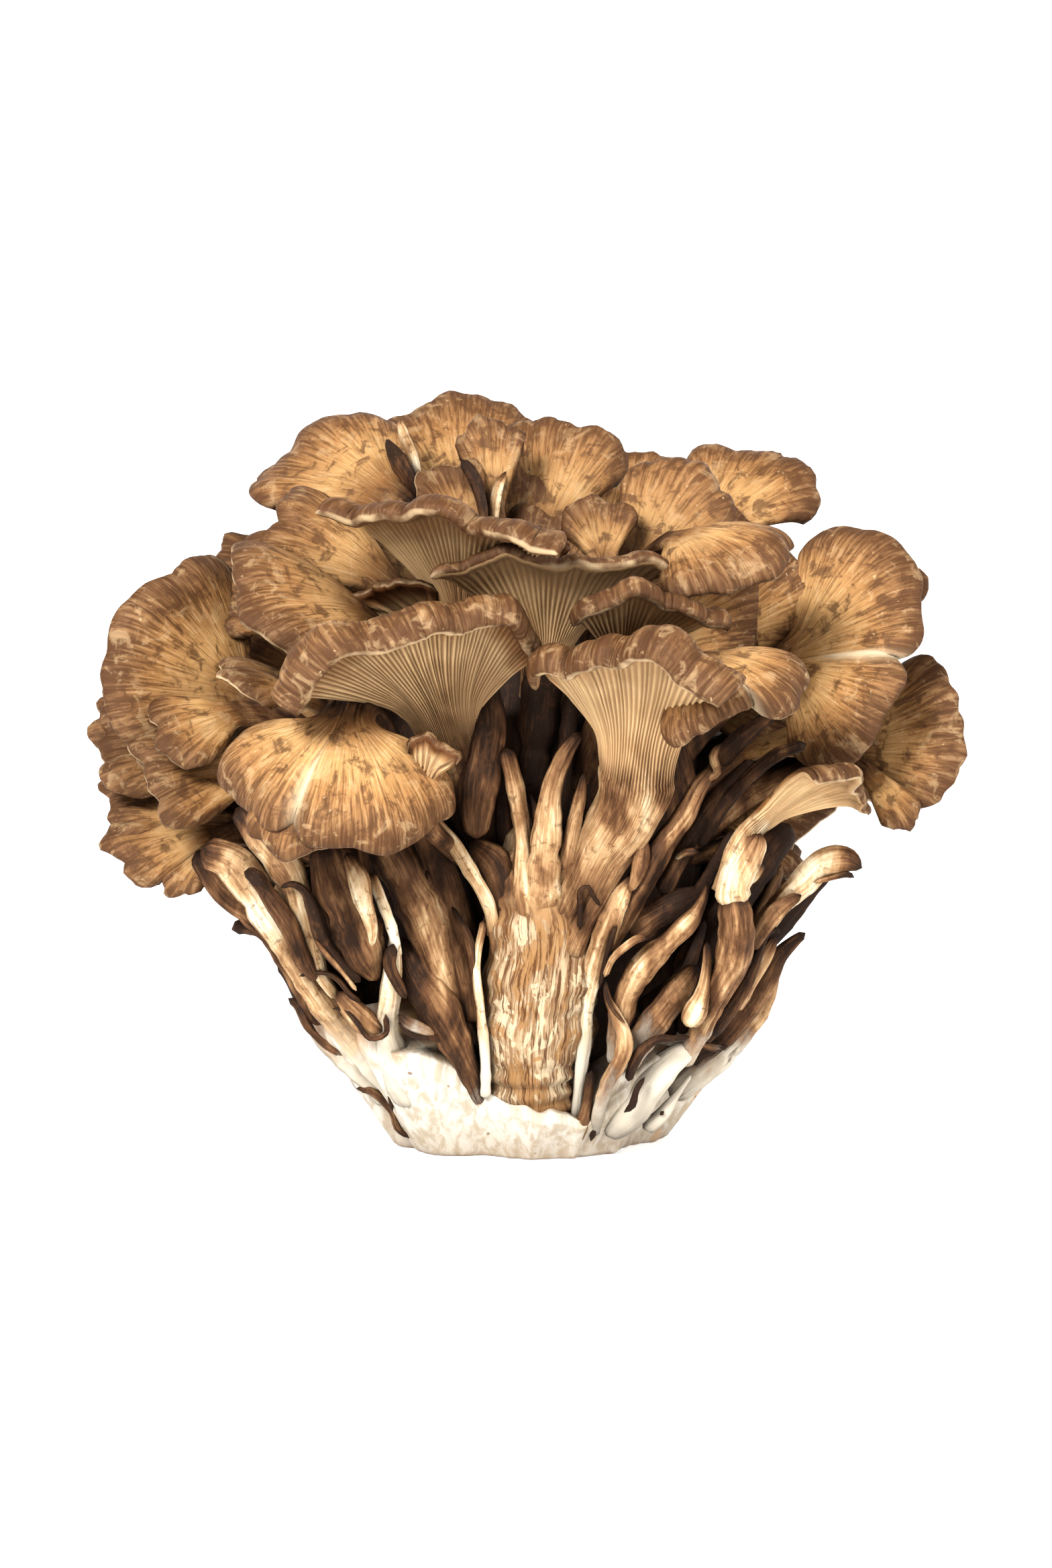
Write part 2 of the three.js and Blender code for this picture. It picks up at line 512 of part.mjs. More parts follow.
function meshOf(name, solid, colour, roughness) {
  const { vertProperties, triVerts, numProp } = solid.getMesh();
  const position = new Float32Array((vertProperties.length / numProp) * 3);
  for (let i = 0; i < position.length / 3; i++) {
    position.set(vertProperties.subarray(i * numProp, i * numProp + 3), i * 3);
  }
  const geometry = new THREE.BufferGeometry();
  geometry.setAttribute("position", new THREE.BufferAttribute(position, 3));
  geometry.setIndex(new THREE.BufferAttribute(triVerts, 1));
  geometry.computeVertexNormals();
  const material = new THREE.MeshStandardMaterial({ color: colour, roughness, metalness: 0 });
  const mesh = new THREE.Mesh(geometry, material);
  mesh.name = name;
  return mesh;
}

const fronds = FRONDS.map(([name, throat, tip, face, options], i) =>
  frondOf(i, name, throat, tip, face, options));
const fingers = FINGERS.map(([name, foot, throat, tip, width, options], i) =>
  fingerOf(FRONDS.length + i, name, foot, throat, tip, width, options));
const back = backFronds(FRONDS.length + FINGERS.length);

const base = baseSolid(0);
const joined = wasm.Manifold.union([heartSolid(), ...[...fronds, ...fingers, ...back].map(frondSolid)]);
const cluster = largest(joined.subtract(baseSolid(CLEARANCE))).simplify(SEAM_TOLERANCE);

const head = new THREE.Group();
head.name = "maitake";
head.add(meshOf("cut_base", base, COLOURS.base, 0.75));
head.add(meshOf("frond_cluster", cluster, COLOURS.fronds, 0.7));

export default head;
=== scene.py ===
"""The looks of a head of maitake: finely waved fronds with gilled undersides, fibrous stems and a
white cut base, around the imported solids. Tables are in millimetres, Blender objects in metres."""
import math
from functools import partialmethod

import bpy
import numpy as np
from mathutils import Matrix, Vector


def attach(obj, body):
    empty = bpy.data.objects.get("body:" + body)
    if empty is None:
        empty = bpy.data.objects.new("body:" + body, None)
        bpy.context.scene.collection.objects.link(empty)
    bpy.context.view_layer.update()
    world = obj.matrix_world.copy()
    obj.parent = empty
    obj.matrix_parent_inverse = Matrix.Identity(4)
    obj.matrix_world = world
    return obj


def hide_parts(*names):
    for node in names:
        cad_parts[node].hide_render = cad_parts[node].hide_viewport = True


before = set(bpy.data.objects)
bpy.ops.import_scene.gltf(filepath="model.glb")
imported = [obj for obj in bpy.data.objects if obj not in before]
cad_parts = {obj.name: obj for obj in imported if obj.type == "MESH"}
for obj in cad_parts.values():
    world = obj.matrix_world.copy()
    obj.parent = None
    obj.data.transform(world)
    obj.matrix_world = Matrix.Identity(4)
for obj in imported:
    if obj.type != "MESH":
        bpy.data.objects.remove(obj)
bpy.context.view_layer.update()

MM = 0.001
CLUSTER = "frond_cluster"
BASE = "cut_base"

# How a frond's rays turn from the stem's line to their own, and where its margin starts to roll.
RAY_STEPS = 48
TURN_SHARE = 0.4
ROLL_FROM = 0.76
STEM_STEPS = 12

# The grid of the fine meshes, in millimetres between points, and the gills below a frond.
# The pieces at the back and between others take a coarser grid.
GILL_PITCH = 2.1
GILL_PITCH_PLAIN = 3.4
GILL_DEPTH = 0.9
ROW_STEP = 1.25
STRAND_STEP = 1.1
STRAND_GIRTH_STEP = 0.7
COARSE = 1.8

# Rows stand closer on fronds seen from below and wider along stems, by these shares of the step.
GILLED_ROW_SHARE = 0.85
STEM_ROW_SHARE = 1.6
FINGER_STEP = 0.55
LEAST_FINGER_COLUMNS = 12
LEAST_STRAND_COLUMNS = 14

# The least width of a strand, and the width up to which its cords grow with it.
STRAND_LEAST = 0.6
STRAND_MOST = 26

# The share of the common ruffle that the margins of the great fans and most of the crown's have.
CALM = 0.55

# The cluster's fronds: name, throat, tip, the way the upper side looks, sweep, bend, curl and options.
# The throat is where the stem starts to widen and the tip is the middle of the margin.
# sweep is half the fan's angle; bend and curl, in degrees, turn it and its margin away from its face.
# side and lean shorten the rays at both sides or at one; gutter lifts the sides and wave the margin.
# split is where a tear runs and how far it steps up; gills is set on fronds that show their underside.
# foot, stem and footWidth shape the stem; pale lightens the underside, partly in its own colour and
# partly as painted light where it lies in shade; ruffle is a share of the ruffles.
FRONDS = [
    # crown
    ("crown_left", (-30, 5, 159), (-57, 35, 173), (0.1, -0.75, 0.65), 42, 20, 30,
     dict(ruffle=CALM, wave=2)),
    ("crown_back", (-14, 15, 153), (-17, 50, 183), (0, -0.8, 0.6), 36, 12, 20,
     dict(ruffle=CALM, wave=1.5)),
    ("crown_spoon", (-6.5, -4, 158), (-8.5, 4, 181), (0.1, -0.9, 0.4), 24, -15, 50, dict(stem=5)),
    ("crown_folded", (-11.5, -10, 152), (-21, -4, 170), (0.3, -0.9, 0.3), 34, -25, 30, dict(gutter=4)),
    ("crown_right", (4, 5, 149), (11, 24, 179), (-0.1, -0.85, 0.5), 34, 15, 40,
     dict(ruffle=CALM, wave=1.5)),
    ("crown_far_low", (19, 30, 140), (20, 50, 166), (0, -0.7, 0.7), 32, 20, 30, dict(ruffle=CALM)),
    ("crown_far", (26, 45, 148), (33, 62, 169), (0, -0.7, 0.7), 34, 15, 30, dict(ruffle=CALM)),
    ("crown_far_right", (46, 36, 148), (67, 58, 168), (-0.2, -0.7, 0.65), 42, 18, 30,
     dict(ruffle=CALM, wave=1.5)),
    ("crown_fan", (26, -12, 142), (43, -2, 169), (-0.25, -0.85, 0.45), 30, 20, 70,
     dict(ruffle=CALM, wave=1)),
    ("crown_trumpet", (20, -20, 146), (18, -15, 163), (0, -0.8, 0.6), 42, -25, 50, dict(gutter=3)),
    # right side
    ("right_drooping", (36, -24, 153), (56, -48, 146), (0.1, -0.6, 0.8), 52, 55, 40, dict(wave=2)),
    ("right_great", (62, 2, 119), (99, -14, 127), (-0.25, -0.85, 0.45), 90, 18, 40,
     dict(ruffle=CALM, wave=2, split=(0.08, 3), side=0.14, lean=-0.14)),
    ("right_behind", (69, 20, 128), (97, 30, 144), (-0.2, -0.6, 0.75), 40, 20, 30, dict(wave=1.5)),
    ("right_low", (78, 5, 97), (110, -5, 105), (-0.2, -0.9, 0.4), 46, 15, 25,
     dict(wave=0.6, ruffle=0.25, lean=-0.08)),
    ("right_tongue", (86, -5, 94), (96, -15, 82), (0, -0.9, 0.4), 14, 20, 30, dict(ruffle=0.3)),
    ("right_split", (41, -46, 126), (57, -69, 115), (0, -0.75, 0.65), 66, 55, 40,
     dict(wave=1.5, split=(0, 2.5))),
    # front, seen from below
    ("front_horn_right", (26, -46, 97), (21, -77, 129), (0.45, 0.7, 0.65), 36, 40, 120,
     dict(gutter=5, lean=-0.22, gills=7, foot=(9, -37, 56), stem=18, footWidth=14, pale=0.5)),
    ("front_horn_left", (-16, -38, 104), (-21, -72, 136), (-0.38, 0.6, 0.8), 54, 40, 115,
     dict(gutter=4, lean=0.24, gills=8, foot=(-3, -25, 58), stem=14, footWidth=15)),
    ("front_middle", (6, -24, 123), (8, -49, 151), (0, 0.45, 0.9), 46, 15, 55,
     dict(side=-0.15, pale=0.9, gills=7, foot=(4, -15, 78), stem=12)),
    ("front_middle_right", (24, -35, 123), (31, -60, 141), (0, 0.5, 0.85), 42, 30, 90,
     dict(pale=0.5, gills=5, foot=(12, -15, 80), stem=10)),
    ("front_upper_left", (-14, -18, 131), (-22, -49, 160), (0.3, 0.3, 0.95), 44, 15, 80,
     dict(side=-0.2, lean=-0.1, pale=0.3, gills=7, foot=(-5, -8, 80), stem=11)),
    ("front_flap", (1.5, -18, 145), (7, -26, 155), (0, 0.5, 0.85), 32, 10, 20),
    ("front_inner_leaf", (-21, -14, 130), (-35, -28, 143), (0, 0.5, 0.85), 34, 15, 20),
    # shaded fronds behind the sides, seen between the front ones
    ("left_shaded_back", (-42, 22, 108), (-80, 26, 118), (0, -0.75, 0.65), 58, 15, 20,
     dict(grid=COARSE)),
    ("left_shaded_low", (-38, 16, 84), (-76, 16, 86), (0, -0.7, 0.7), 44, 15, 20, dict(grid=COARSE)),
    ("right_shaded_back", (36, 20, 110), (74, 22, 120), (0, -0.75, 0.65), 56, 15, 20,
     dict(grid=COARSE)),
    ("right_shaded_low", (34, 14, 84), (78, 12, 92), (0, -0.7, 0.7), 40, 15, 20, dict(grid=COARSE)),
    # front left and left side
    ("hero_cap", (-41, -52, 115), (-47, -74, 85), (0, -0.7, 0.7), 100, 62, 30,
     dict(wave=2, split=(0.15, 3), side=0.15, foot=(-12, -28, 40), stem=13)),
    ("left_shelf", (-48, -42, 115), (-71, -52, 124), (0, -0.3, 0.95), 28, 25, 30,
     dict(foot=(-14, -14, 72))),
    ("left_middle", (-36, -18, 132), (-68, -42, 141), (-0.3, -0.7, 0.65), 42, 40, 30,
     dict(ruffle=CALM, wave=2)),
    ("left_shaded", (-31, -8, 139), (-63, -5, 157), (-0.1, -0.5, 0.85), 36, 30, 40, dict(wave=2)),
    ("left_lobe_upper", (-54, 15, 134), (-77, 15, 146), (-0.2, -0.6, 0.75), 34, 30, 30),
    ("left_lobe_lower", (-52, 4, 130), (-75, 4, 137), (-0.2, -0.7, 0.7), 30, 30, 30),
    ("left_great", (-66, 0, 110), (-99, -13, 132), (0.25, -0.85, 0.45), 72, 18, 40,
     dict(ruffle=CALM, wave=2.5)),
    ("left_oval", (-69, -22, 111), (-88, -35, 106), (0, -0.8, 0.6), 36, 30, 20),
    ("left_stack_upper", (-75, 8, 101), (-107, 2, 107), (0.1, -0.7, 0.7), 28, 30, 20),
    ("left_stack_lower", (-73, -2, 98), (-105, -8, 100), (0.1, -0.7, 0.7), 30, 30, 20),
    ("left_plate", (-63, -15, 96), (-93, -29, 97), (0, -0.7, 0.7), 38, 30, 20),
    ("left_curl_upper", (-74, -2, 82), (-104, -5, 87), (0, -0.6, 0.8), 28, 30, 30, dict(gutter=2)),
    ("left_curl_middle", (-74, -8, 80), (-102, -14, 77), (0, -0.8, 0.6), 30, 30, 30, dict(gutter=2)),
    ("left_curl_lower", (-76, -12, 78), (-88, -18, 67), (0, -0.9, 0.4), 28, 20, 30),
]

# Stems and straps at the front: name, paleness from -1 to 1, flatness, and stations of x, y, z, width.
# The darkest strands, in the hollows and in the shade at the right, take part of their darkness as
# painted shade.
STRANDS = [
    ("trunk", 0.35, 0.62, [(4, -20, 9, 19.8), (3, -24, 15, 24), (3, -29, 30, 25.8), (4, -32, 44, 26.8),
     (5, -34, 57, 29.3), (4, -35, 69, 28.6), (3, -34, 79, 17.9), (3, -33, 87, 8.1)]),
    ("antler_left", 0.45, 0.8, [(-4, -41, 105, 3.6), (-2, -41, 97, 4.4), (0, -41, 86, 4.5),
     (1, -41, 76, 6.5), (1, -40, 66, 8.4), (2, -36, 54, 6.5)]),
    ("antler_right", 0.2, 0.75, [(14, -42, 109, 2.6), (10, -43, 103, 4.4), (7, -43, 95, 5.8),
     (6, -43, 85, 7.4), (5, -42, 75, 8.7), (5, -38, 63, 9.7), (5, -35, 52, 6.5)]),
    ("antler_fork", 0, 0.7, [(15, -41, 99, 1.5), (14, -41, 93, 3.1), (12, -41, 84, 4.2),
     (10, -40, 75, 5.5), (8, -37, 64, 5.8)]),
    ("antler_small", -0.5, 0.7, [(1, -37, 94, 1.5), (3, -38, 90, 2.1), (4, -39, 83, 2.9),
     (4, -38, 76, 3.2)]),
    # The hollow strands: their own brown, darkened by paleness as painted shade in the hollow.
    ("hollow_left", -0.55, 0.7, [(-9, -34, 121, 6.5), (-8, -37, 110, 9.1), (-10, -39, 97, 10),
     (-11, -41, 89, 8.4), (-11, -41, 83, 5.5)]),
    ("hollow_left_inner", -0.9, 0.8, [(-7, -33, 112, 2.3), (-6, -33, 105, 3.6), (-5, -33, 95, 3.9),
     (-4, -33, 83, 4.9), (-4, -33, 73, 4.9)]),
    ("hollow_back", -0.8, 0.7, [(5, -26, 122, 8.2), (4, -26, 110, 9.2), (3, -26, 100, 8.2),
     (3, -27, 89, 7.2), (3, -29, 79, 6.5)]),
    ("hollow_back_right", -0.95, 0.8, [(12, -28, 117, 4.3), (11, -29, 107, 4.3), (10, -30, 96, 4.2),
     (9, -31, 83, 4.2)]),
    ("cup_left_wall", -0.2, 0.6, [(-13, -38, 82, 3.2), (-7, -39, 77, 8.1), (-4, -39, 69, 9.7),
     (-2, -37, 59, 8.1), (0, -34, 49, 4.9)]),
    ("cup_left_rim", 0.6, 0.8, [(-22, -42, 89, 2.4), (-17, -43, 83, 3.9), (-12, -44, 75, 4.4),
     (-8, -42, 67, 4.2), (-6, -38, 56, 3.2), (-5, -34, 47, 2)]),
    ("arm_right_outer", 0.7, 0.6, [(27, -41, 74, 1.9), (24, -41, 69, 5.2), (21, -41, 62, 6.5),
     (18, -39, 53, 5.5), (16, -36, 43, 4.2), (15, -33, 31, 3.6), (14, -30, 20, 2.9),
     (13, -26, 9, 2.3)]),
    ("arm_hook", -0.7, 0.9, [(19, -45, 67, 1.1), (17, -46, 70, 1.1), (16, -46, 72, 1.1),
     (14, -46, 71, 1.3), (14, -45, 67, 1.5), (14, -43, 61, 1.5)]),
    ("arm_hook_small", -0.8, 0.9, [(23, -43, 62, 1), (22, -43, 60, 1.5), (21, -42, 56, 1.5),
     (20, -40, 52, 1.3), (19, -38, 46, 1.1)]),
    ("crown_pale", 0.9, 0.5, [(-31, 20, 180, 3.4), (-30, 17, 177, 4.8), (-27, 10, 171, 4.4),
     (-25, 3, 164, 2.4)]),
    ("crown_dark", -0.9, 0.4, [(-34, 9, 176, 1.7), (-32, 5, 173, 5.1), (-29, 0, 169, 6.4),
     (-25, -4, 163, 4)]),
    ("spoon_stem", 0.9, 0.4, [(-4, -4, 169, 1.3), (-6, -6, 165, 3.3), (-7, -8, 159, 3.3),
     (-7, -9, 154, 2)]),
    ("crown_fold", -0.6, 0.4, [(-15, -6, 172, 2.3), (-12, -8, 168, 3.7), (-10, -10, 162, 3.3),
     (-9, -12, 156, 2)]),
    ("trunk_strap_left", -0.7, 0.8, [(-17, -39, 66, 0.8), (-14, -40, 61, 1.8), (-12, -40, 55, 2.3),
     (-11, -39, 47, 2.4), (-10, -38, 38, 2.1), (-10, -35, 31, 1.5)]),
    ("trunk_edge_left", 0.7, 0.6, [(-9, -40, 63, 2.3), (-11, -40, 52, 2.3), (-10, -39, 40, 2.6),
     (-9, -36, 28, 2.9), (-9, -32, 17, 2.9)]),
    ("left_inner", -0.25, 0.6, [(-29, -37, 58, 2.6), (-26, -39, 50, 7.1), (-21, -39, 42, 9.7),
     (-16, -37, 32, 8.4), (-12, -33, 22, 5.5), (-10, -29, 15, 3.3)]),
    ("left_inner_shade", -0.3, 0.7, [(-32, -34, 82, 8.1), (-25, -35, 72, 11.4), (-18, -35, 61, 10.1),
     (-14, -35, 47, 7.2), (-12, -33, 36, 5.5)]),
    ("left_panel_edge", 0.2, 0.8, [(-23, -38, 75, 1.6), (-22, -38, 71, 2.3), (-19, -38, 64, 2.4),
     (-18, -37, 58, 1.9)]),
    ("left_panel", 0.15, 0.6, [(-34, -38, 84, 9.1), (-29, -39, 74, 10.7), (-24, -39, 63, 10.4),
     (-20, -38, 51, 7.1), (-16, -35, 41, 5.5), (-12, -32, 30, 3.9)]),
    ("left_mottled", -0.15, 0.5, [(-47, -44, 83, 9), (-45, -45, 74, 11.9), (-41, -45, 64, 13.5),
     (-38, -43, 55, 10.3), (-35, -40, 48, 2.6)]),
    ("left_mottled_side", -0.35, 0.6, [(-51, -40, 76, 4.2), (-48, -41, 67, 5.5), (-45, -41, 57, 5.5),
     (-40, -40, 50, 3.6)]),
    ("left_peeled", 0.9, 0.45, [(-42, -50, 81, 2.9), (-39, -52, 75, 5.4), (-38, -52, 70, 4.8),
     (-36, -51, 63, 3.2), (-36, -49, 58, 1.3)]),
    ("left_pale_finger", 0.9, 0.7, [(-36, -44, 75, 1.5), (-35, -46, 72, 2.3), (-33, -47, 67, 2.6),
     (-31, -46, 61, 2.6), (-30, -43, 54, 2.6)]),
    ("left_white_ridge", 0.95, 0.7, [(-31, -43, 61, 1.9), (-31, -43, 54, 3.9), (-32, -41, 45, 4.9),
     (-33, -37, 36, 5.5), (-31, -31, 25, 8.2), (-26, -26, 14, 9.8)]),
    ("left_bark_knot", -0.75, 0.7, [(-31, -46, 58, 3.2), (-32, -46, 53, 3.5), (-30, -45, 48, 2.9),
     (-28, -43, 44, 1.6)]),
    ("left_gold_edge", 0.3, 0.7, [(-30, -42, 40, 1.6), (-28, -42, 38, 3.2), (-24, -41, 36, 2.9),
     (-21, -39, 34, 1.3)]),
    ("left_gold_lip", -0.6, 0.8, [(-30, -42, 38, 1), (-27, -42, 35, 1.5), (-23, -41, 34, 1.3),
     (-20, -39, 33, 1.1), (-18, -37, 28, 1)]),
    ("left_broad", 0.45, 0.55, [(-78, -34, 79, 6.5), (-70, -36, 76, 10.4), (-63, -38, 67, 10.1),
     (-56, -38, 56, 8.4), (-51, -35, 46, 7.8), (-44, -31, 35, 7.2), (-36, -26, 24, 7.2),
     (-28, -21, 13, 6.6)]),
    ("left_dark_ridge", -0.65, 0.7, [(-67, -42, 75, 1.6), (-64, -44, 74, 3.5), (-60, -45, 68, 4.2),
     (-56, -45, 62, 4.5), (-53, -43, 54, 4.2), (-50, -40, 48, 2.3)]),
    ("left_gill_stem", 0.5, 0.5, [(-69, -38, 90, 4.9), (-63, -41, 83, 7.8), (-56, -43, 75, 8.4),
     (-53, -43, 67, 7.1), (-51, -42, 59, 4.8), (-49, -40, 50, 3.6), (-45, -37, 43, 2.6)]),
    ("left_hook", -0.7, 0.85, [(-58, -47, 72, 1), (-55, -48, 73, 1.8), (-52, -48, 71, 2.4),
     (-50, -48, 66, 2.9), (-48, -47, 59, 3.2), (-44, -45, 53, 2.9), (-39, -42, 48, 1.9)]),
    ("left_hook_edge", 0.6, 0.8, [(-50, -49, 60, 1), (-47, -48, 56, 1.4), (-44, -46, 52, 1.3),
     (-40, -43, 46, 1.1)]),
    ("left_crack", -0.9, 0.9, [(-54, -40, 49, 0.8), (-51, -41, 50, 1.1), (-47, -42, 50, 1.3),
     (-44, -42, 48, 1.3), (-42, -41, 45, 1.3), (-39, -40, 42, 1.9)]),
    ("left_torn_block", 0, 0.6, [(-45, -39, 45, 3.2), (-42, -40, 42, 5.5), (-38, -40, 38, 6.5),
     (-34, -39, 35, 4.2)]),
    ("left_torn_lip", -0.9, 0.9, [(-46, -40, 41, 0.8), (-43, -41, 41, 1.3), (-40, -42, 38, 1.5),
     (-37, -42, 34, 1.6), (-33, -41, 35, 1.5), (-33, -42, 40, 1.5)]),
    ("left_finger", -0.35, 0.8, [(-72, -14, 56, 3.6), (-68, -15, 57, 4.6), (-63, -17, 55, 4.5),
     (-58, -19, 48, 4.5), (-54, -20, 40, 4), (-48, -19, 30, 3.3)]),
    ("left_under", 0, 0.55, [(-80, -22, 77, 4.9), (-73, -22, 67, 7.2), (-66, -22, 61, 6.6),
     (-59, -22, 53, 4.9), (-54, -21, 45, 3.6)]),
    ("left_low_strap", -0.45, 0.8, [(-58, -16, 39, 1.8), (-55, -18, 37, 2.5), (-53, -20, 33, 2.6),
     (-49, -21, 29, 2.6), (-43, -21, 25, 2.3), (-38, -20, 21, 1.6)]),
    ("left_low_skirt", 0.2, 0.55, [(-55, -17, 40, 2), (-51, -19, 34, 5.9), (-46, -20, 28, 7.6),
     (-38, -20, 21, 8.2), (-31, -18, 14, 8.3)]),
    ("left_speck_line", -0.6, 0.9, [(-41, -26, 26, 1.5), (-38, -27, 25, 1), (-35, -27, 22, 0.8),
     (-33, -26, 17, 0.8), (-32, -24, 12, 1)]),
    ("foot_finger", 0, 0.85, [(-41, -20, 17, 2), (-38, -21, 17, 2.3), (-35, -21, 15, 2.5),
     (-32, -20, 11, 2.3), (-31, -19, 7, 2), (-28, -18, 4, 1.3)]),
    ("left_behind", -0.7, 0.7, [(-61, -10, 46, 2.3), (-58, -10, 42, 3.3), (-54, -10, 34, 3.7),
     (-48, -11, 28, 3.3)]),
    ("right_white_arm", 0.85, 0.75, [(57, -43, 85, 7.1), (54, -43, 79, 8.1), (51, -43, 72, 8.7),
     (51, -42, 66, 8.4)]),
    ("right_mottled_arm", 0.1, 0.75, [(51, -43, 70, 6.5), (52, -43, 61, 8.6), (51, -40, 52, 8.1),
     (48, -36, 44, 6.2), (44, -30, 34, 5.6), (39, -25, 24, 5.6)]),
    ("right_bulb", 0.9, 0.8, [(58, -38, 77, 3.9), (56, -38, 74, 4.2), (54, -38, 71, 2.3)]),
    ("right_cap_stem", 0.5, 0.5, [(83, -30, 74, 1.6), (79, -31, 76, 6.9), (73, -31, 75, 7.8),
     (68, -31, 70, 6.5), (62, -31, 64, 5.9), (57, -30, 56, 4.9), (52, -28, 46, 4.3)]),
    ("right_cap_lip", -0.1, 0.7, [(81, -32, 72, 1.1), (79, -33, 73, 1.6), (75, -33, 72, 1.5),
     (71, -33, 71, 1.3)]),
    ("right_leaf", 0.25, 0.5, [(68, -34, 68, 2.3), (63, -35, 65, 4.6), (59, -34, 60, 4.6),
     (56, -32, 54, 3.3)]),
    ("right_ring_hook", -0.85, 0.9, [(63, -31, 58, 1), (62, -31, 59, 1.3), (60, -31, 58, 1.5),
     (59, -31, 56, 1.8), (57, -31, 51, 3.3), (54, -30, 44, 4.2), (49, -28, 36, 3.9),
     (45, -25, 30, 3.3)]),
    ("right_hook_inner", 0.4, 0.7, [(62, -29, 57, 2), (60, -29, 53, 3.6), (56, -28, 46, 4.3),
     (52, -26, 38, 4.3)]),
    ("right_outer_branch", -0.5, 0.7, [(70, -19, 56, 2), (67, -20, 54, 3.3), (63, -21, 50, 4.6),
     (59, -21, 42, 5.6), (54, -20, 35, 5.6), (49, -19, 29, 5.6), (42, -18, 23, 5)]),
    ("right_outer_skirt", 0.1, 0.55, [(63, -17, 47, 3.3), (59, -17, 37, 5.6), (53, -17, 29, 6.6),
     (47, -17, 23, 7.3), (37, -16, 14, 7.3)]),
    ("right_nub", -0.5, 0.8, [(62, -15, 41, 2.3), (61, -15, 38, 2.8), (57, -16, 34, 2.8),
     (53, -17, 30, 2.6), (47, -18, 27, 2.3)]),
    ("right_ring", -0.1, 0.8, [(51, -22, 28, 1.3), (48, -24, 28, 2.3), (45, -25, 29, 2.3),
     (42, -26, 31, 1.6)]),
    ("right_gold_branch", 0.1, 0.7, [(45, -38, 72, 1.3), (44, -39, 68, 2.4), (41, -40, 63, 4.2),
     (36, -40, 58, 5.8), (30, -39, 52, 7.1), (26, -37, 45, 7.1), (24, -34, 36, 6.2),
     (23, -30, 25, 4.9)]),
    ("right_dark_leaf", -0.6, 0.5, [(44, -33, 69, 2.6), (38, -34, 66, 6.5), (31, -34, 62, 7.5),
     (26, -34, 58, 5.5)]),
    ("right_thin_curl", 0.5, 0.8, [(31, -43, 59, 1), (28, -44, 59, 1.8), (25, -44, 57, 1.9),
     (22, -43, 54, 1.8), (20, -41, 49, 1.3)]),
    # The shade strands: their own brown, darkened by paleness as painted shade where they lie in shadow.
    ("right_shade_a", -0.9, 0.7, [(66, -18, 83, 6.6), (58, -18, 73, 9.9), (52, -18, 63, 9.9),
     (45, -19, 51, 7.6), (38, -21, 40, 8.2)]),
    ("right_shade_b", -0.8, 0.7, [(76, -12, 70, 3.3), (67, -12, 62, 7.6), (58, -13, 52, 8.3),
     (50, -15, 40, 8.3), (42, -17, 31, 8.3)]),
    ("right_gap_edge", -0.85, 0.7, [(45, -24, 60, 2.3), (43, -25, 54, 3), (40, -27, 47, 3.9),
     (35, -29, 43, 4.9), (29, -31, 38, 5.2)]),
    ("right_mid_stem", 0.15, 0.65, [(43, -31, 50, 3.6), (39, -33, 45, 6.8), (34, -34, 39, 7.8),
     (29, -33, 32, 6.8), (26, -31, 24, 4.9)]),
    ("right_gold_bulb", 0.35, 0.7, [(45, -37, 57, 1.6), (45, -38, 51, 2.9), (44, -38, 45, 3.9),
     (42, -38, 40, 6.2), (40, -36, 36, 5.5)]),
    ("right_dark_strap", -0.8, 0.8, [(41, -35, 33, 1.5), (37, -37, 33, 1.8), (33, -38, 33, 2.3),
     (29, -38, 30, 2.8), (27, -37, 26, 2.8), (26, -35, 22, 2)]),
    ("trunk_curl_right", 0.4, 0.7, [(20, -37, 48, 1), (21, -38, 43, 1.6), (23, -39, 39, 2.9),
     (25, -40, 34, 4), (24, -39, 28, 4.5), (21, -36, 22, 3.9), (19, -31, 14, 3.3), (18, -25, 6, 2)]),
    ("trunk_curl_edge", -0.6, 0.8, [(20, -40, 47, 0.6), (21, -41, 43, 1), (23, -42, 40, 1.1),
     (25, -43, 38, 0.8)]),
    ("right_white_flesh", 0.95, 0.6, [(42, -27, 29, 4.9), (36, -29, 25, 8.2), (30, -29, 18, 8.8),
     (25, -27, 11, 7.2), (21, -24, 6, 4.6)]),
    ("right_white_tube", 0.95, 0.7, [(42, -22, 21, 0.8), (38, -24, 16, 2), (34, -26, 11, 3.9),
     (30, -25, 8, 4.3)]),
    ("right_drop", -0.95, 0.9, [(30, -35, 23, 1.1), (28, -36, 20, 1.6), (27, -35, 16, 2),
     (25, -34, 14, 1)]),
    ("right_speck", -0.95, 0.9, [(35, -28, 13, 1.3), (34, -28, 12, 1.6)]),
    ("foot_speck", -0.95, 0.9, [(19, -27, 11, 1), (18, -27, 9, 1.5), (17, -26, 5, 1.5)]),
    ("foot_tan", 0.2, 0.7, [(17, -32, 24, 2.3), (16, -30, 15, 2.9), (14, -27, 8, 4.3),
     (11, -23, 3, 3.6)]),
    ("right_ear", 0.1, 0.5, [(29, -42, 85, 1.9), (29, -43, 80, 3.9), (28, -43, 75, 3.6),
     (26, -42, 70, 1.9)]),
    ("right_diag_front", -0.2, 0.7, [(47, -38, 104, 1.1), (46, -40, 100, 2.1), (43, -41, 96, 3.9),
     (39, -41, 88, 5.5), (34, -40, 81, 6.5), (29, -39, 72, 7.1), (24, -37, 63, 6.5),
     (20, -35, 54, 4.2)]),
    ("right_diag_second", -0.7, 0.7, [(56, -33, 101, 2.6), (50, -34, 95, 3.9), (44, -34, 87, 4.6),
     (39, -34, 78, 4.9), (34, -33, 68, 4.9)]),
    ("right_diag_third", -0.6, 0.7, [(69, -33, 105, 2), (61, -34, 102, 3.6), (53, -35, 95, 3.9),
     (48, -35, 89, 3.9), (43, -34, 80, 3.6)]),
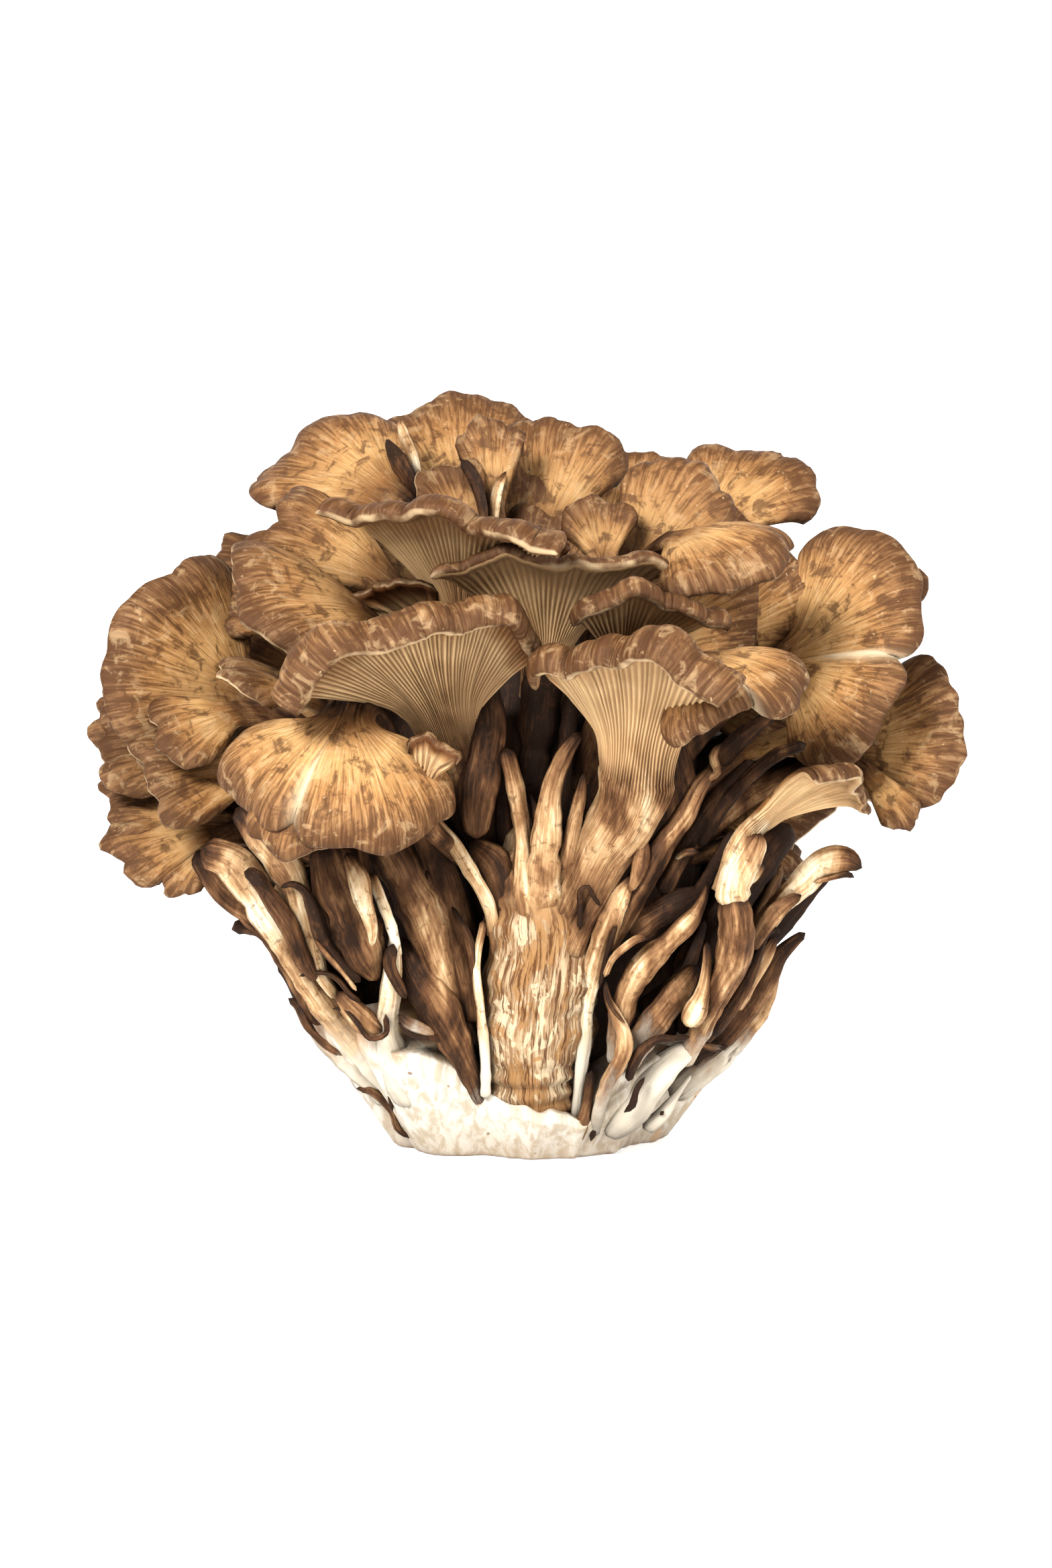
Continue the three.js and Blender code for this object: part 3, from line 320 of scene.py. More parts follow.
    ("right_diag_fourth", -0.8, 0.7, [(52, -36, 84, 3.6), (49, -36, 79, 3.9), (45, -34, 72, 3.6),
     (41, -32, 65, 3.3)]),
    ("right_stub", 0.7, 0.9, [(43, -38, 79, 2.8), (40, -37, 79, 2.3), (37, -35, 77, 1.8)]),
    ("right_upper_dark", -0.7, 0.6, [(62, -32, 113, 3.3), (54, -33, 107, 4.9), (47, -33, 100, 4.9)]),
    ("right_fork_tip", 0.2, 0.7, [(48, -40, 106, 1.3), (46, -41, 103, 2.1), (47, -41, 99, 2.3),
     (43, -41, 97, 1.6)]),
]

# Fronds deep in the cluster, which close the gaps between the ones in front.
FILLERS = [
    ("crown_inner_left", (-18, 14, 138), (-42, 20, 160), (0, -0.75, 0.65), 46, 15, 30),
    ("crown_inner_right", (26, 14, 118), (52, 18, 146), (0, -0.75, 0.65), 54, 15, 30),
    ("hero_lobe", (-50, -62, 101), (-52, -74, 84), (0, -0.7, 0.7), 56, 50, 20, dict(stem=9)),
    ("crown_inner_middle", (-2, 8, 140), (-3, 12, 168), (0, -0.75, 0.65), 46, 15, 30),
    ("core_right", (16, 4, 126), (24, 8, 148), (-0.2, -0.6, 0.75), 44, 20, 40),
    ("core_middle", (4, 2, 128), (10, 4, 158), (0, -0.4, 0.85), 40, 20, 40),
    ("crown_inner_far", (44, 16, 120), (68, 14, 149), (0, -0.75, 0.65), 50, 15, 30),
    ("hero_flap", (-23, -61, 100), (-20, -66, 110), (0.2, 0.9, 0.2), 36, 20, 50, dict(stem=5)),
    ("right_arch", (56, -42, 86), (80, -50, 97), (-0.1, 0.55, 0.85), 34, 40, 70,
     dict(gills=6, foot=(50, -38, 70), stem=8, pale=0.9)),
    # the two sides
    ("side_right_upper", (50, 8, 94), (86, 16, 103), (0.35, 0, 0.85), 52, 40, 50, dict(grid=COARSE)),
    ("side_right_back", (48, 22, 82), (80, 34, 85), (0.3, 0.1, 0.85), 50, 40, 50, dict(grid=COARSE)),
    ("side_right_middle", (44, 2, 72), (70, 6, 71), (0.35, 0, 0.85), 50, 40, 40, dict(grid=COARSE)),
    ("side_right_low", (44, 14, 56), (64, 20, 53), (0.35, 0.1, 0.85), 46, 40, 40, dict(grid=COARSE)),
    ("side_left_upper", (-50, 10, 94), (-88, 18, 101), (-0.35, 0, 0.85), 54, 40, 50, dict(grid=COARSE)),
    ("side_left_back", (-48, 24, 80), (-80, 36, 82), (-0.3, 0.1, 0.85), 50, 40, 50, dict(grid=COARSE)),
    ("side_left_middle", (-44, 6, 70), (-72, 10, 67), (-0.35, 0, 0.85), 50, 40, 40, dict(grid=COARSE)),
    ("side_left_low", (-44, 16, 54), (-62, 22, 49), (-0.35, 0.1, 0.85), 44, 40, 40, dict(grid=COARSE)),
]

# Each frond's number seeds its waves; these are the first ones of the fillers and of the back.
FIRST_FILLER = 200
FIRST_BACK = 66

# The side away from the viewer, in tiers that a seeded draw loosens: how far each leans up and reaches
# from the centre, and the angles that it spans, in degrees counted from the right.
BACK_CENTRE = (0, 4, 78)
BACK_TIERS = [
    dict(lean=52, reach=84, start=55, end=150, count=3),
    dict(lean=30, reach=90, start=22, end=165, count=5),
    dict(lean=10, reach=96, start=8, end=172, count=6),
    dict(lean=-10, reach=84, start=20, end=160, count=5),
]
BACK_SKIRT = dict(start=0, end=180, count=8, reach=66, height=52)

# Stems around the sides and the back: their number, their angles and the ring that they stand on.
# Each station is the share of the slant, the way out, the height and the share of the width.
RING_STEMS = 30
RING_ANGLES = (-18, 198)
RING_HALF_WIDTH = 33
RING_HALF_DEPTH = 25
RING_SET_BACK = 4
RING_STATIONS = [(0, 0, 8, 1.15), (0.3, 10, 24, 1.0), (0.6, 19, 42, 0.95), (0.85, 27, 60, 0.8),
                 (1, 31, 70, 0.5)]

# Which way a strand's flat side looks: to the viewer, or outward when it lies behind this depth.
STRAND_FRONT = (0.1, -1, 0.25)
STRAND_BEHIND = -10

# The heart of the cluster, which the stems stand out of: height, half width, half depth.
HEART = [(10, 26, 20), (26, 47, 34), (48, 44, 32), (80, 48, 34), (106, 44, 34), (126, 26, 24)]
HEART_SET_BACK = 7
HEART_SIDES = 120
HEART_ROWS = 30

# The white base: cut flat below, wider above, with lobed sides and an uneven top.
# Each bump of the rim is its angle, width and rise; the closing rings run inward over the top.
BASE_HALF_WIDTH = 33
BASE_HALF_DEPTH = 24
BASE_FRONT_RIM = 15
BASE_SIDE_RISE = 18
BASE_BACK_RISE = 8
BASE_FLARE = 0.7
BASE_SIDES = 260
BASE_ROWS = 40
BASE_RIM_BUMPS = [(3.85, 0.28, 9), (4.75, 0.3, -3), (4.25, 0.2, 13)]
BASE_CLOSING = [(0.97, 0.4), (0.9, 0.8), (0.7, 1.2), (0.4, 1.2)]

# How much shorter the rays at a fan's sides are, which rounds its corners.
CORNER_ROUND = 0.25

# Height in metres below which a stem whitens: the common one, and others by name.
WHITENS_BELOW = 0.026
NEVER = -0.02
WHITE_BELOW = {
    "trunk": 0.002, "left_inner": 0.012, "trunk_strap_left": 0.0, "trunk_curl_right": 0.012,
    "foot_tan": NEVER, "foot_finger": NEVER, "foot_speck": NEVER, "left_speck_line": NEVER,
    "right_drop": NEVER, "right_speck": NEVER, "right_dark_strap": NEVER,
}

# Display colours along a cap's upper side, along its lower side, and of the stems from dark to pale. The
# upper side's darkest stop, at the throat, is partly its own brown and partly painted shade deep in the
# cluster.
UPPER_TONES = [(0.48, (84, 58, 34)), (0.60, (152, 108, 64)), (0.73, (204, 160, 106)),
               (0.85, (166, 122, 76)), (0.93, (130, 94, 60)), (0.985, (104, 74, 48))]
LOWER_TONES = [(0.46, (158, 116, 76)), (0.62, (206, 168, 124)), (0.80, (220, 186, 140)),
               (0.88, (160, 120, 80)), (0.94, (108, 76, 48))]
STEM_TONES = [(0.12, (44, 26, 12)), (0.32, (92, 62, 38)), (0.50, (142, 106, 72)),
              (0.66, (186, 152, 112)), (0.84, (222, 200, 166)), (1.0, (240, 230, 208))]
STEM_DARKEN = 0.255

# The light: a dim even world, a soft key from the upper left and a weaker fill from the right.
# Each lamp is its name, place, size and power; the floor glows more behind the head.
WORLD_LIGHT = 0.4
FLOOR_GLOW = 0.35
BACK_GLOW = 0.9
LIGHT_AIM = (0, 0, 0.1)
LIGHTS = [("key", (-0.75, -1.4, 1.15), 0.6, 50), ("fill", (1.3, -1.0, 0.9), 0.9, 20)]

# The camera: degrees above the level, metres from its target, and its lens and film in millimetres.
CAMERA_ELEVATION = 8
CAMERA_DISTANCE = 1.1
CAMERA_TARGET = (0.001, 0, 0.0905)
CAMERA_LENS = 100.9
CAMERA_FILM = 36

# The floor in metres: half its width, its front edge, its back, the radius of its turn and its top.
FLOOR_HALF = 4.0
FLOOR_FRONT = -2.0
FLOOR_BACK = 2.2
FLOOR_TURN = 0.5
FLOOR_TOP = 1.6


def unit(v):
    """The vector at a length of 1."""
    return v / np.linalg.norm(v)


def smooth(t):
    """A share from 0 to 1, eased at both ends."""
    t = np.clip(t, 0, 1)
    return t * t * (3 - 2 * t)


def lerp(a, b, t):
    """The value a share t of the way from a to b."""
    return a + (b - a) * t


def draw(n):
    """A repeatable draw from 0 to 1 for a whole number."""
    x = math.sin(n * 12.9898 + 4.1414) * 43758.5453
    return x - math.floor(x)


def grain(x, y, seed):
    """Smooth noise from -1 to 1 over a plane, the same on every run.

    A call's factors on x and y set how fine the noise is each way, and offsets keep it off the origin.
    """
    x, y = np.broadcast_arrays(np.asarray(x, float), np.asarray(y, float))
    cell_x, cell_y = np.floor(x), np.floor(y)
    fx, fy = smooth(x - cell_x), smooth(y - cell_y)

    def corner(i, j):
        """The draw of one of a cell's corners."""
        v = np.sin((cell_x + i) * 127.1 + (cell_y + j) * 311.7 + seed * 74.7) * 43758.5453
        return v - np.floor(v)

    low = lerp(corner(0, 0), corner(1, 0), fx)
    high = lerp(corner(0, 1), corner(1, 1), fx)
    return 2 * lerp(low, high, fy) - 1


def frond_of(index, name, throat, tip, face, sweep, bend, curl, options=None):
    """What a frond is made of, from its few given values."""
    options = options or {}
    reach = math.dist(throat, tip)
    stem = options.get("stem", min(max(0.3 * reach, 5), 12))
    foot = options.get("foot", (0.25 * throat[0], 0.25 * throat[1], 38 + 0.35 * (throat[2] - 38)))
    frond = dict(
        index=index, name=name, sweep=sweep, bend=bend, curl=curl, gutter=0, wave=1, waves=1.5,
        side=0.1, lean=0, gills=0, stem=stem, footWidth=stem * 1.15, pale=0, ruffle=1, grid=1,
        thick=min(max(0.09 * reach, 2.4), 3.8), start=-1 if "foot" in options else -0.75,
        finger=False, split=(0, 0),
    )
    frond.update(options)
    places = dict(throat=throat, tip=tip, face=face, foot=foot)
    frond.update({key: np.array(value, float) for key, value in places.items()})
    set_frame(frond)
    set_stem(frond)
    return frond


def heading(angle, lean):
    """The way out at an angle, raised by lean, both in degrees."""
    level = math.cos(math.radians(lean))
    turn = math.radians(angle)
    return np.array([math.cos(turn) * level, math.sin(turn) * level, math.sin(math.radians(lean))])


def tier_fronds(first):
    """The fronds of the back's tiers, numbered from first. Each drawn value has a hundred of its own."""
    made = []
    centre = np.array(BACK_CENTRE, float)
    for tier, t in enumerate(BACK_TIERS):
        for i in range(t["count"]):
            index = first + len(made)
            angle = lerp(t["start"], t["end"], (i + 0.5) / t["count"]) + 8 * (draw(index) - 0.5)
            far = t["reach"] * (0.92 + 0.14 * draw(index + 100))
            throat = centre + heading(angle, t["lean"] + 9) * far * 0.55
            tip = centre + heading(angle + 10 * (draw(index + 200) - 0.5), t["lean"] - 7) * far
            aside = 0.5 * (draw(index + 800) - 0.5)
            face = np.array([0, 0, 0.85]) + heading(angle, 0) * 0.35 + heading(angle + 90, 0) * aside
            made.append(frond_of(
                index, f"back_{tier}_{i}", throat, tip, face, 44 + 26 * draw(index + 300),
                35 + 25 * draw(index + 400), 20 + 50 * draw(index + 500),
                dict(wave=1.5 + draw(index + 600), waves=1.3 + draw(index + 700), stem=10, grid=COARSE),
            ))
    return made


def skirt_stems(first):
    """The short stems of the skirt below the back's tiers, numbered from first."""
    made = []
    skirt = BACK_SKIRT
    up = np.array([0, 0, 1.0])
    for i in range(skirt["count"]):
        index = first + i
        turn = lerp(skirt["start"], skirt["end"], i / (skirt["count"] - 1)) + 10 * (draw(index) - 0.5)
        out = heading(turn, 0)
        far = skirt["reach"] * (0.85 + 0.3 * draw(index + 100))
        rise = skirt["height"] * (0.7 + 0.6 * draw(index + 200))
        tip = out * far + up * rise
        made.append(frond_of(index, f"skirt_{i}", tip * 0.72, tip, up + out, 8, 15, 10, dict(
            foot=out * 30 + up * 14, stem=12, footWidth=12 * 1.2, thick=7, side=0.35, wave=0.3,
            finger=True, grid=COARSE,
        )))
    return made


def bend_at(frond, q):
    """Angle in radians by which a ray has bent away from the face at a share q of its length."""
    roll = smooth((q - ROLL_FROM) / (1 - ROLL_FROM))
    return np.radians(frond["bend"] * q ** 1.2 + frond["curl"] * roll)


def set_frame(frond):
    """Axis along the frond, normal out of its face and across to its right, at the throat."""
    chord = frond["tip"] - frond["throat"]
    line = unit(chord)
    lift = unit(frond["face"] - line * frond["face"].dot(line))
    q = (np.arange(RAY_STEPS) + 0.5) / RAY_STEPS
    turn = bend_at(frond, q)
    ahead, down = np.cos(turn).mean(), np.sin(turn).mean()
    rise = math.atan2(down, ahead)
    frond["ray"] = np.linalg.norm(chord) / math.hypot(ahead, down)
    frond["axis"] = line * math.cos(rise) + lift * math.sin(rise)
    frond["normal"] = lift * math.cos(rise) - line * math.sin(rise)
    frond["across"] = np.cross(frond["axis"], frond["normal"])


def set_stem(frond):
    """The stem's stations from foot to throat, each a point with its normal and across."""
    foot, throat, axis = frond["foot"], frond["throat"], frond["axis"]
    span = np.linalg.norm(throat - foot)
    start = throat - foot + np.array([0, 0, 0.35 * span])
    end = axis * 0.8 * span
    t = np.linspace(0, 1, STEM_STEPS + 1)[:, None]
    points = (foot * (2 * t ** 3 - 3 * t ** 2 + 1) + start * (t ** 3 - 2 * t ** 2 + t)
              + throat * (3 * t ** 2 - 2 * t ** 3) + end * (t ** 3 - t ** 2))
    normals = np.empty_like(points)
    acrosses = np.empty_like(points)
    normal = frond["normal"]
    for i in range(STEM_STEPS, -1, -1):
        ahead = axis if i == STEM_STEPS else unit(points[i + 1] - points[max(i - 1, 0)])
        normal = unit(normal - ahead * normal.dot(ahead))
        normals[i] = normal
        acrosses[i] = np.cross(ahead, normal)
    frond["stations"] = (points, normals, acrosses)


def stem_middle(frond, u, t):
    """The stem's middle surface at columns u and rows t, from the foot at 0 to the throat at 1."""
    seed = frond["index"] * 1.37
    steps = np.linspace(0, 1, STEM_STEPS + 1)
    at, up, side = (np.stack([np.interp(t, steps, rows[:, i]) for i in range(3)], -1)
                    for rows in frond["stations"])
    wander = np.sin(np.pi * np.clip(t, 0, 1)) * 0.09 * frond["stem"]
    at = at + side * (wander * grain(t * 4, 0.5, seed))[:, None]
    at = at + up * (wander * grain(t * 4, 7.5, seed))[:, None]
    half = lerp(frond["footWidth"], frond["stem"], smooth(t)) / 2
    half = half * (1 + 0.10 * grain(t * 5, 3.5, seed))
    return (at[:, None] + side[:, None] * (half[:, None] * u)[..., None]
            + up[:, None] * (frond["gutter"] * u * u * t[:, None])[..., None])


def ray_lengths(frond, u):
    """How long the ray of each column is, with a tear's notch and a ragged margin."""
    index = frond["index"]
    split_at, step_up = frond["split"]
    notch = 0.12 * np.exp(-(((u - split_at) / 0.06) ** 2)) if step_up else 0
    ragged = 0.05 * np.sin(5.3 * u + index) + 0.03 * np.sin(11 * u + 2.3 * index)
    fine = 0.010 * np.sin(23 * u + 3.1 * index) + 0.008 * grain(u * 24 + 40, 2.5, index * 1.37)
    corner = 0 if frond["finger"] or frond["gills"] else CORNER_ROUND * u ** 8
    shape = 1 - frond["side"] * u * u + frond["lean"] * u - notch - corner
    rough = 0.3 * fine if frond["finger"] else frond["ruffle"] * ragged + fine
    return frond["ray"] * (shape + rough)


def ray_points(frond, u, cap):
    """Points of the rays at columns u and at shares cap of their length, in the frond's own frame."""
    q = (np.arange(RAY_STEPS) + 0.5) / RAY_STEPS
    turn = math.radians(frond["sweep"]) * u[:, None] * smooth(q / TURN_SHARE)
    bent = bend_at(frond, q)
    step = ray_lengths(frond, u)[:, None] / RAY_STEPS
    moves = np.stack([step * np.cos(bent) * np.cos(turn), step * np.cos(bent) * np.sin(turn),
                      -step * np.sin(bent) * np.ones_like(turn)], -1)
    runs = np.concatenate([np.zeros((len(u), 1, 3)), np.cumsum(moves, 1)], 1)
    place = cap * RAY_STEPS
    i = np.minimum(place.astype(int), RAY_STEPS - 1)
    run = runs[:, i] + (runs[:, i + 1] - runs[:, i]) * (place - i)[None, :, None]
    return run.transpose(1, 0, 2)


def cap_middle(frond, u, cap):
    """The fan's middle surface at columns u and rows cap, from the throat at 0 to the margin at 1."""
    index, seed = frond["index"], frond["index"] * 1.37
    split_at, step_up = frond["split"]
    run = ray_points(frond, u, cap)
    cap = cap[:, None]
    waved = frond["wave"] * cap ** 2 * np.sin(np.pi * frond["waves"] * u + 1.7 * index)
    waved = waved + step_up * cap ** 2 * smooth((u - split_at) / 0.12 + 0.5)
    ruffle = 0.2 if frond["finger"] else frond["ruffle"]
    waved = waved + ruffle * cap ** 3 * (1.3 * grain(u * 2.4 + 20, cap * 1.5, seed)
                                         + 0.3 * grain(u * 7 + 20, cap * 2.5, seed + 5))
    rise = frond["gutter"] * u * u * (1 - cap) + waved
    start = frond["throat"] + frond["across"] * (u * frond["stem"] / 2)[:, None]
    return (start + run[..., :1] * frond["axis"] + run[..., 1:2] * frond["across"]
            + (run[..., 2] + rise)[..., None] * frond["normal"])


def middle(frond, u, s):
    """The middle surface at columns u (-1 to 1) and rows s (-1 foot, 0 throat, 1 margin)."""
    stem = s <= 0
    return np.concatenate([stem_middle(frond, u, 1 + s[stem]), cap_middle(frond, u, s[~stem])])


def normals_of(points):
    """The way out of a surface at each point of its grid."""
    over = np.gradient(points, axis=1)
    on = np.gradient(points, axis=0)
    n = np.cross(over, on)
    return n / np.maximum(np.linalg.norm(n, axis=-1, keepdims=True), 1e-9)


def half_thickness(frond, u, s):
    """Half of the flesh: round at the stem, and blunt along the fan's edges and margin."""
    thick, stem = frond["thick"], frond["stem"]
    throat = max(1.6 * thick, thick if frond["finger"] else 0.42 * stem)
    foot = thick * 1.15 if frond["finger"] else 0.7 * frond["footWidth"]
    full = np.where(s <= 0, lerp(foot, throat, smooth(1 + s)),
                    lerp(throat, thick, np.sqrt(np.clip(s, 0, 1))))
    blunt = 2 + 4 * np.clip(s, 0, 1)
    edge = np.maximum(1 - np.abs(u) ** blunt, 0) ** (1 / blunt)
    lip = 1.6 / max(frond["ray"], 1)
    margin = np.sqrt(np.clip(1 - (np.clip(s - 1 + lip, 0, None) / lip) ** 2, 0, 1))
    return full / 2 * edge * margin


def frond_grid(frond):
    """Columns and rows of a frond's grid, the number of gills, the fan's arc and the stem's length."""
    arc = 2 * math.radians(frond["sweep"]) * frond["ray"]
    gilled = frond["gills"] > 0
    if frond["finger"]:
        gills = 0
        columns = max(int(frond["stem"] / (FINGER_STEP * frond["grid"])), LEAST_FINGER_COLUMNS)
    else:
        gills = max(round(arc / (GILL_PITCH if gilled else GILL_PITCH_PLAIN)), 6)
        columns = gills * (4 if gilled else 3 if frond["grid"] == 1 else 2)
    x = np.linspace(-1, 1, columns + 1)
    u = x if gills else np.sign(x) * (1 - (1 - np.abs(x)) ** 1.3)
    stem_length = np.linalg.norm(np.diff(frond["stations"][0], axis=0), axis=1).sum()
    start = frond["start"]
    row_step = ROW_STEP * (GILLED_ROW_SHARE if gilled else 1) * frond["grid"]
    stem_rows = max(int(-start * stem_length / (STEM_ROW_SHARE * row_step)), 6)
    cap_rows = max(int(frond["ray"] / row_step), 8)
    ramp = np.linspace(0, 1, cap_rows + 1)
    s = np.concatenate([np.linspace(start, 0, stem_rows + 1)[:-1], 1 - (1 - ramp) ** 1.35])
    return u, s, gills, arc, stem_length


def gill_ridges(across, rows, gills, seed):
    """How high each point stands on a gill, from 0 to 1, and where the gills fade out."""
    shift = 0.35 * grain(rows * 2.5, across * 3, seed + 8)
    phase = across * gills / 2 + shift
    tooth = 1 - np.abs(2 * (phase - np.floor(phase)) - 1)
    fade = smooth((rows + 0.25) / 0.4) * smooth((0.97 - rows) / 0.08)
    return tooth ** 1.5 * fade, fade


def frond_sides(frond, u, s, gills, arc):
    """Upper and lower side of a frond, its gills' ridges, and the middle of its foot."""
    seed = frond["index"] * 0.731
    centre = middle(frond, u, s)
    out = normals_of(centre)
    rows, across = s[:, None], u[None, :]
    half = half_thickness(frond, across, rows)
    shoulder = np.clip(half / max(frond["thick"] * 0.3, 0.5), 0, 1)
    ribs = 0.10 * grain(across * arc * 0.45, rows * 5, seed)
    ribs = ribs + 0.12 * grain(across * arc * 0.16, rows * 3, seed)
    cords = 0.45 * grain(across * frond["stem"] * 0.35 + 9, rows * 4, seed + 3)
    cords = cords + 0.25 * grain(across * frond["stem"] * 0.9 + 9, rows * 7, seed + 4)
    relief = lerp(cords * min(frond["stem"] / 9, 2), ribs, smooth(np.clip(rows, 0, 1) * 4))
    upper = half + relief * shoulder
    lower = half + 0.6 * relief * shoulder
    ridge = np.zeros_like(half)
    if gills:
        ridge, fade = gill_ridges(across, rows, gills, seed)
        tall = GILL_DEPTH * (1 if frond["gills"] > 0 else 1.2)
        lower = lower + tall * (ridge - 0.35 * fade) * shoulder
    top = centre + out * upper[..., None]
    bottom = centre - out * np.maximum(lower, 0)[..., None]
    top[:, [0, -1]] = bottom[:, [0, -1]] = centre[:, [0, -1]]
    top[-1] = bottom[-1] = centre[-1]
    return top, bottom, ridge, centre[0].mean(0)


def grid_quads(ids, flip):
    """The corners of each cell of a grid of point numbers."""
    a, b, c, d = ids[:-1, :-1], ids[:-1, 1:], ids[1:, 1:], ids[1:, :-1]
    return np.stack([d, c, b, a] if flip else [a, b, c, d], -1).reshape(-1, 4)


def frond_mesh(frond):
    """One frond as a closed fine mesh, with its skin map in centimetres and its tones."""
    u, s, gills, arc, stem_length = frond_grid(frond)
    top, bottom, ridge, foot = frond_sides(frond, u, s, gills, arc)
    rows, across = s[:, None], u[None, :]
    m, n = ridge.shape
    upper_ids = np.arange(m * n).reshape(m, n)
    lower_ids = upper_ids.copy()
    inner = np.zeros((m, n), bool)
    inner[:-1, 1:-1] = True
    lower_ids[inner] = m * n + np.arange(inner.sum())
    end_id = m * n + inner.sum()
    points = np.concatenate([top.reshape(-1, 3), bottom[inner], foot[None]])
    quads = np.concatenate([grid_quads(upper_ids, False), grid_quads(lower_ids, True)])
    ends = [[end_id, upper_ids[0, k + 1], upper_ids[0, k]] for k in range(n - 1)]
    ends += [[end_id, lower_ids[0, k], lower_ids[0, k + 1]] for k in range(n - 1)]

    def per_point(above, below):
        """A value at each point of the mesh, from its values on the two sides."""
        above, below = np.broadcast_to(above, (m, n)), np.broadcast_to(below, (m, n))
        return np.concatenate([above.reshape(-1), below[inner], above[0, :1]])

    along = rows * 0.5 + 0.5
    along = np.minimum(along, 0.45) if frond["finger"] else along
    split_at, step_up = frond["split"]
    torn = np.exp(-(((across - split_at) / 0.035) ** 2)) * smooth(rows * 3) if step_up else 0
    skin_u = across * max(arc, frond["stem"]) / 20
    skin_v = np.where(rows > 0, rows * frond["ray"], rows * stem_length) / 10
    tone = np.stack([per_point(0.0, 1.0), per_point(along, along), per_point(0.0, ridge),
                     per_point(torn, torn)], -1)
    skin = np.stack([per_point(skin_u, skin_u) + 7 * frond["index"], per_point(skin_v, skin_v)], -1)
    return build_mesh(frond["name"], points * MM, quads, ends, skin, tone, frond["pale"])


def build_mesh(name, points, quads, triangles, skin, tone, pale):
    """A smooth object with its skin map, its tones and the values that the material reads."""
    triangles = np.array(triangles, int).reshape(-1, 3)
    loops = np.concatenate([quads.reshape(-1), triangles.reshape(-1)]).astype(np.int32)
    sizes = np.concatenate([np.full(len(quads), 4), np.full(len(triangles), 3)])
    mesh = bpy.data.meshes.new(name)
    mesh.vertices.add(len(points))
    mesh.vertices.foreach_set("co", points.astype(np.float32).reshape(-1))
    mesh.loops.add(len(loops))
    mesh.loops.foreach_set("vertex_index", loops)
    mesh.polygons.add(len(sizes))
    starts = np.concatenate([[0], np.cumsum(sizes)[:-1]])
    mesh.polygons.foreach_set("loop_start", starts.astype(np.int32))
    mesh.update(calc_edges=True)
    mesh.shade_smooth()
    layer = mesh.uv_layers.new(name="skin")
    layer.uv.foreach_set("vector", skin[loops].astype(np.float32).reshape(-1))
    colours = mesh.color_attributes.new("tone", "FLOAT_COLOR", "POINT")
    colours.data.foreach_set("color", tone.astype(np.float32).reshape(-1))
    whitens = WHITE_BELOW.get(name, WHITENS_BELOW)
    for key, value in (("pale", pale), ("white_below", whitens), ("bark", float(name == "trunk"))):
        layer = mesh.attributes.new(key, "FLOAT", "POINT")
        layer.data.foreach_set("value", np.full(len(points), value, np.float32))
    piece = bpy.data.objects.new(name, mesh)
    bpy.context.scene.collection.objects.link(piece)
    return piece


def along_curve(stations, step):
    """A smooth curve through the stations, as evenly spaced points with their widths."""
    knots = np.array(stations, float)
    before = 2 * knots[0] - knots[1]
    after = 2 * knots[-1] - knots[-2]
    path = np.concatenate([[before], knots, [after]])
    pieces = []
    for a, b, c, d in zip(path, path[1:], path[2:], path[3:]):
        count = max(int(np.linalg.norm((c - b)[:3]) / step), 2)
        t = np.linspace(0, 1, count, endpoint=False)[:, None]
        pieces.append(0.5 * (2 * b + (c - a) * t + (2 * a - 5 * b + 4 * c - d) * t ** 2
                             + (3 * b - a - 3 * c + d) * t ** 3))
    return np.concatenate(pieces + [knots[-1:]])


def blunt_ends(gone, width):
    """The share of its width that a strand keeps along its way, which rounds off both ends."""
    first = np.clip(gone / (0.5 * width[0]), 0, 1)
    last = np.clip((gone[-1] - gone) / (0.5 * width[-1]), 0, 1)
    return (np.sqrt(np.clip(1 - (1 - first) ** 2, 0.02, 1))
            * np.sqrt(np.clip(1 - (1 - last) ** 2, 0.02, 1)))


def strand_frame(centre):
    """Which way a strand's flat side looks, and across it, at each point of its middle line."""
    ahead = np.gradient(centre, axis=0)
    ahead /= np.linalg.norm(ahead, axis=1, keepdims=True)
    x, y, _ = centre[len(centre) // 2]
    outward = unit(np.array([x, y - 4, 12])) if y > STRAND_BEHIND else np.array(STRAND_FRONT)
    front = outward - ahead * (ahead @ outward)[:, None]
    front /= np.linalg.norm(front, axis=1, keepdims=True)
    return front, np.cross(ahead, front)


def strand_relief(angle, far, size, seed):
    """Cords and flutes around a strand, as a share of its half width."""
    turned = angle + 0.25 * grain(far / 14, 0.5, seed + 1)
    cord = 0.10 * grain(turned * 1.6 + 3, far / 24, seed + 2)
    cord = cord + 0.05 * grain(turned * 4 + 3, far / 22, seed + 3)
    cord = cord + 0.06 * grain(turned * 9 + 3, far / 16, seed + 4) / max(size / 6, 1)
    flute = 0.22 * np.abs(grain(turned * size / 3.2 + 3, far / 26, seed + 5)) / max(size / 5, 1)
    return cord - flute * 0.6


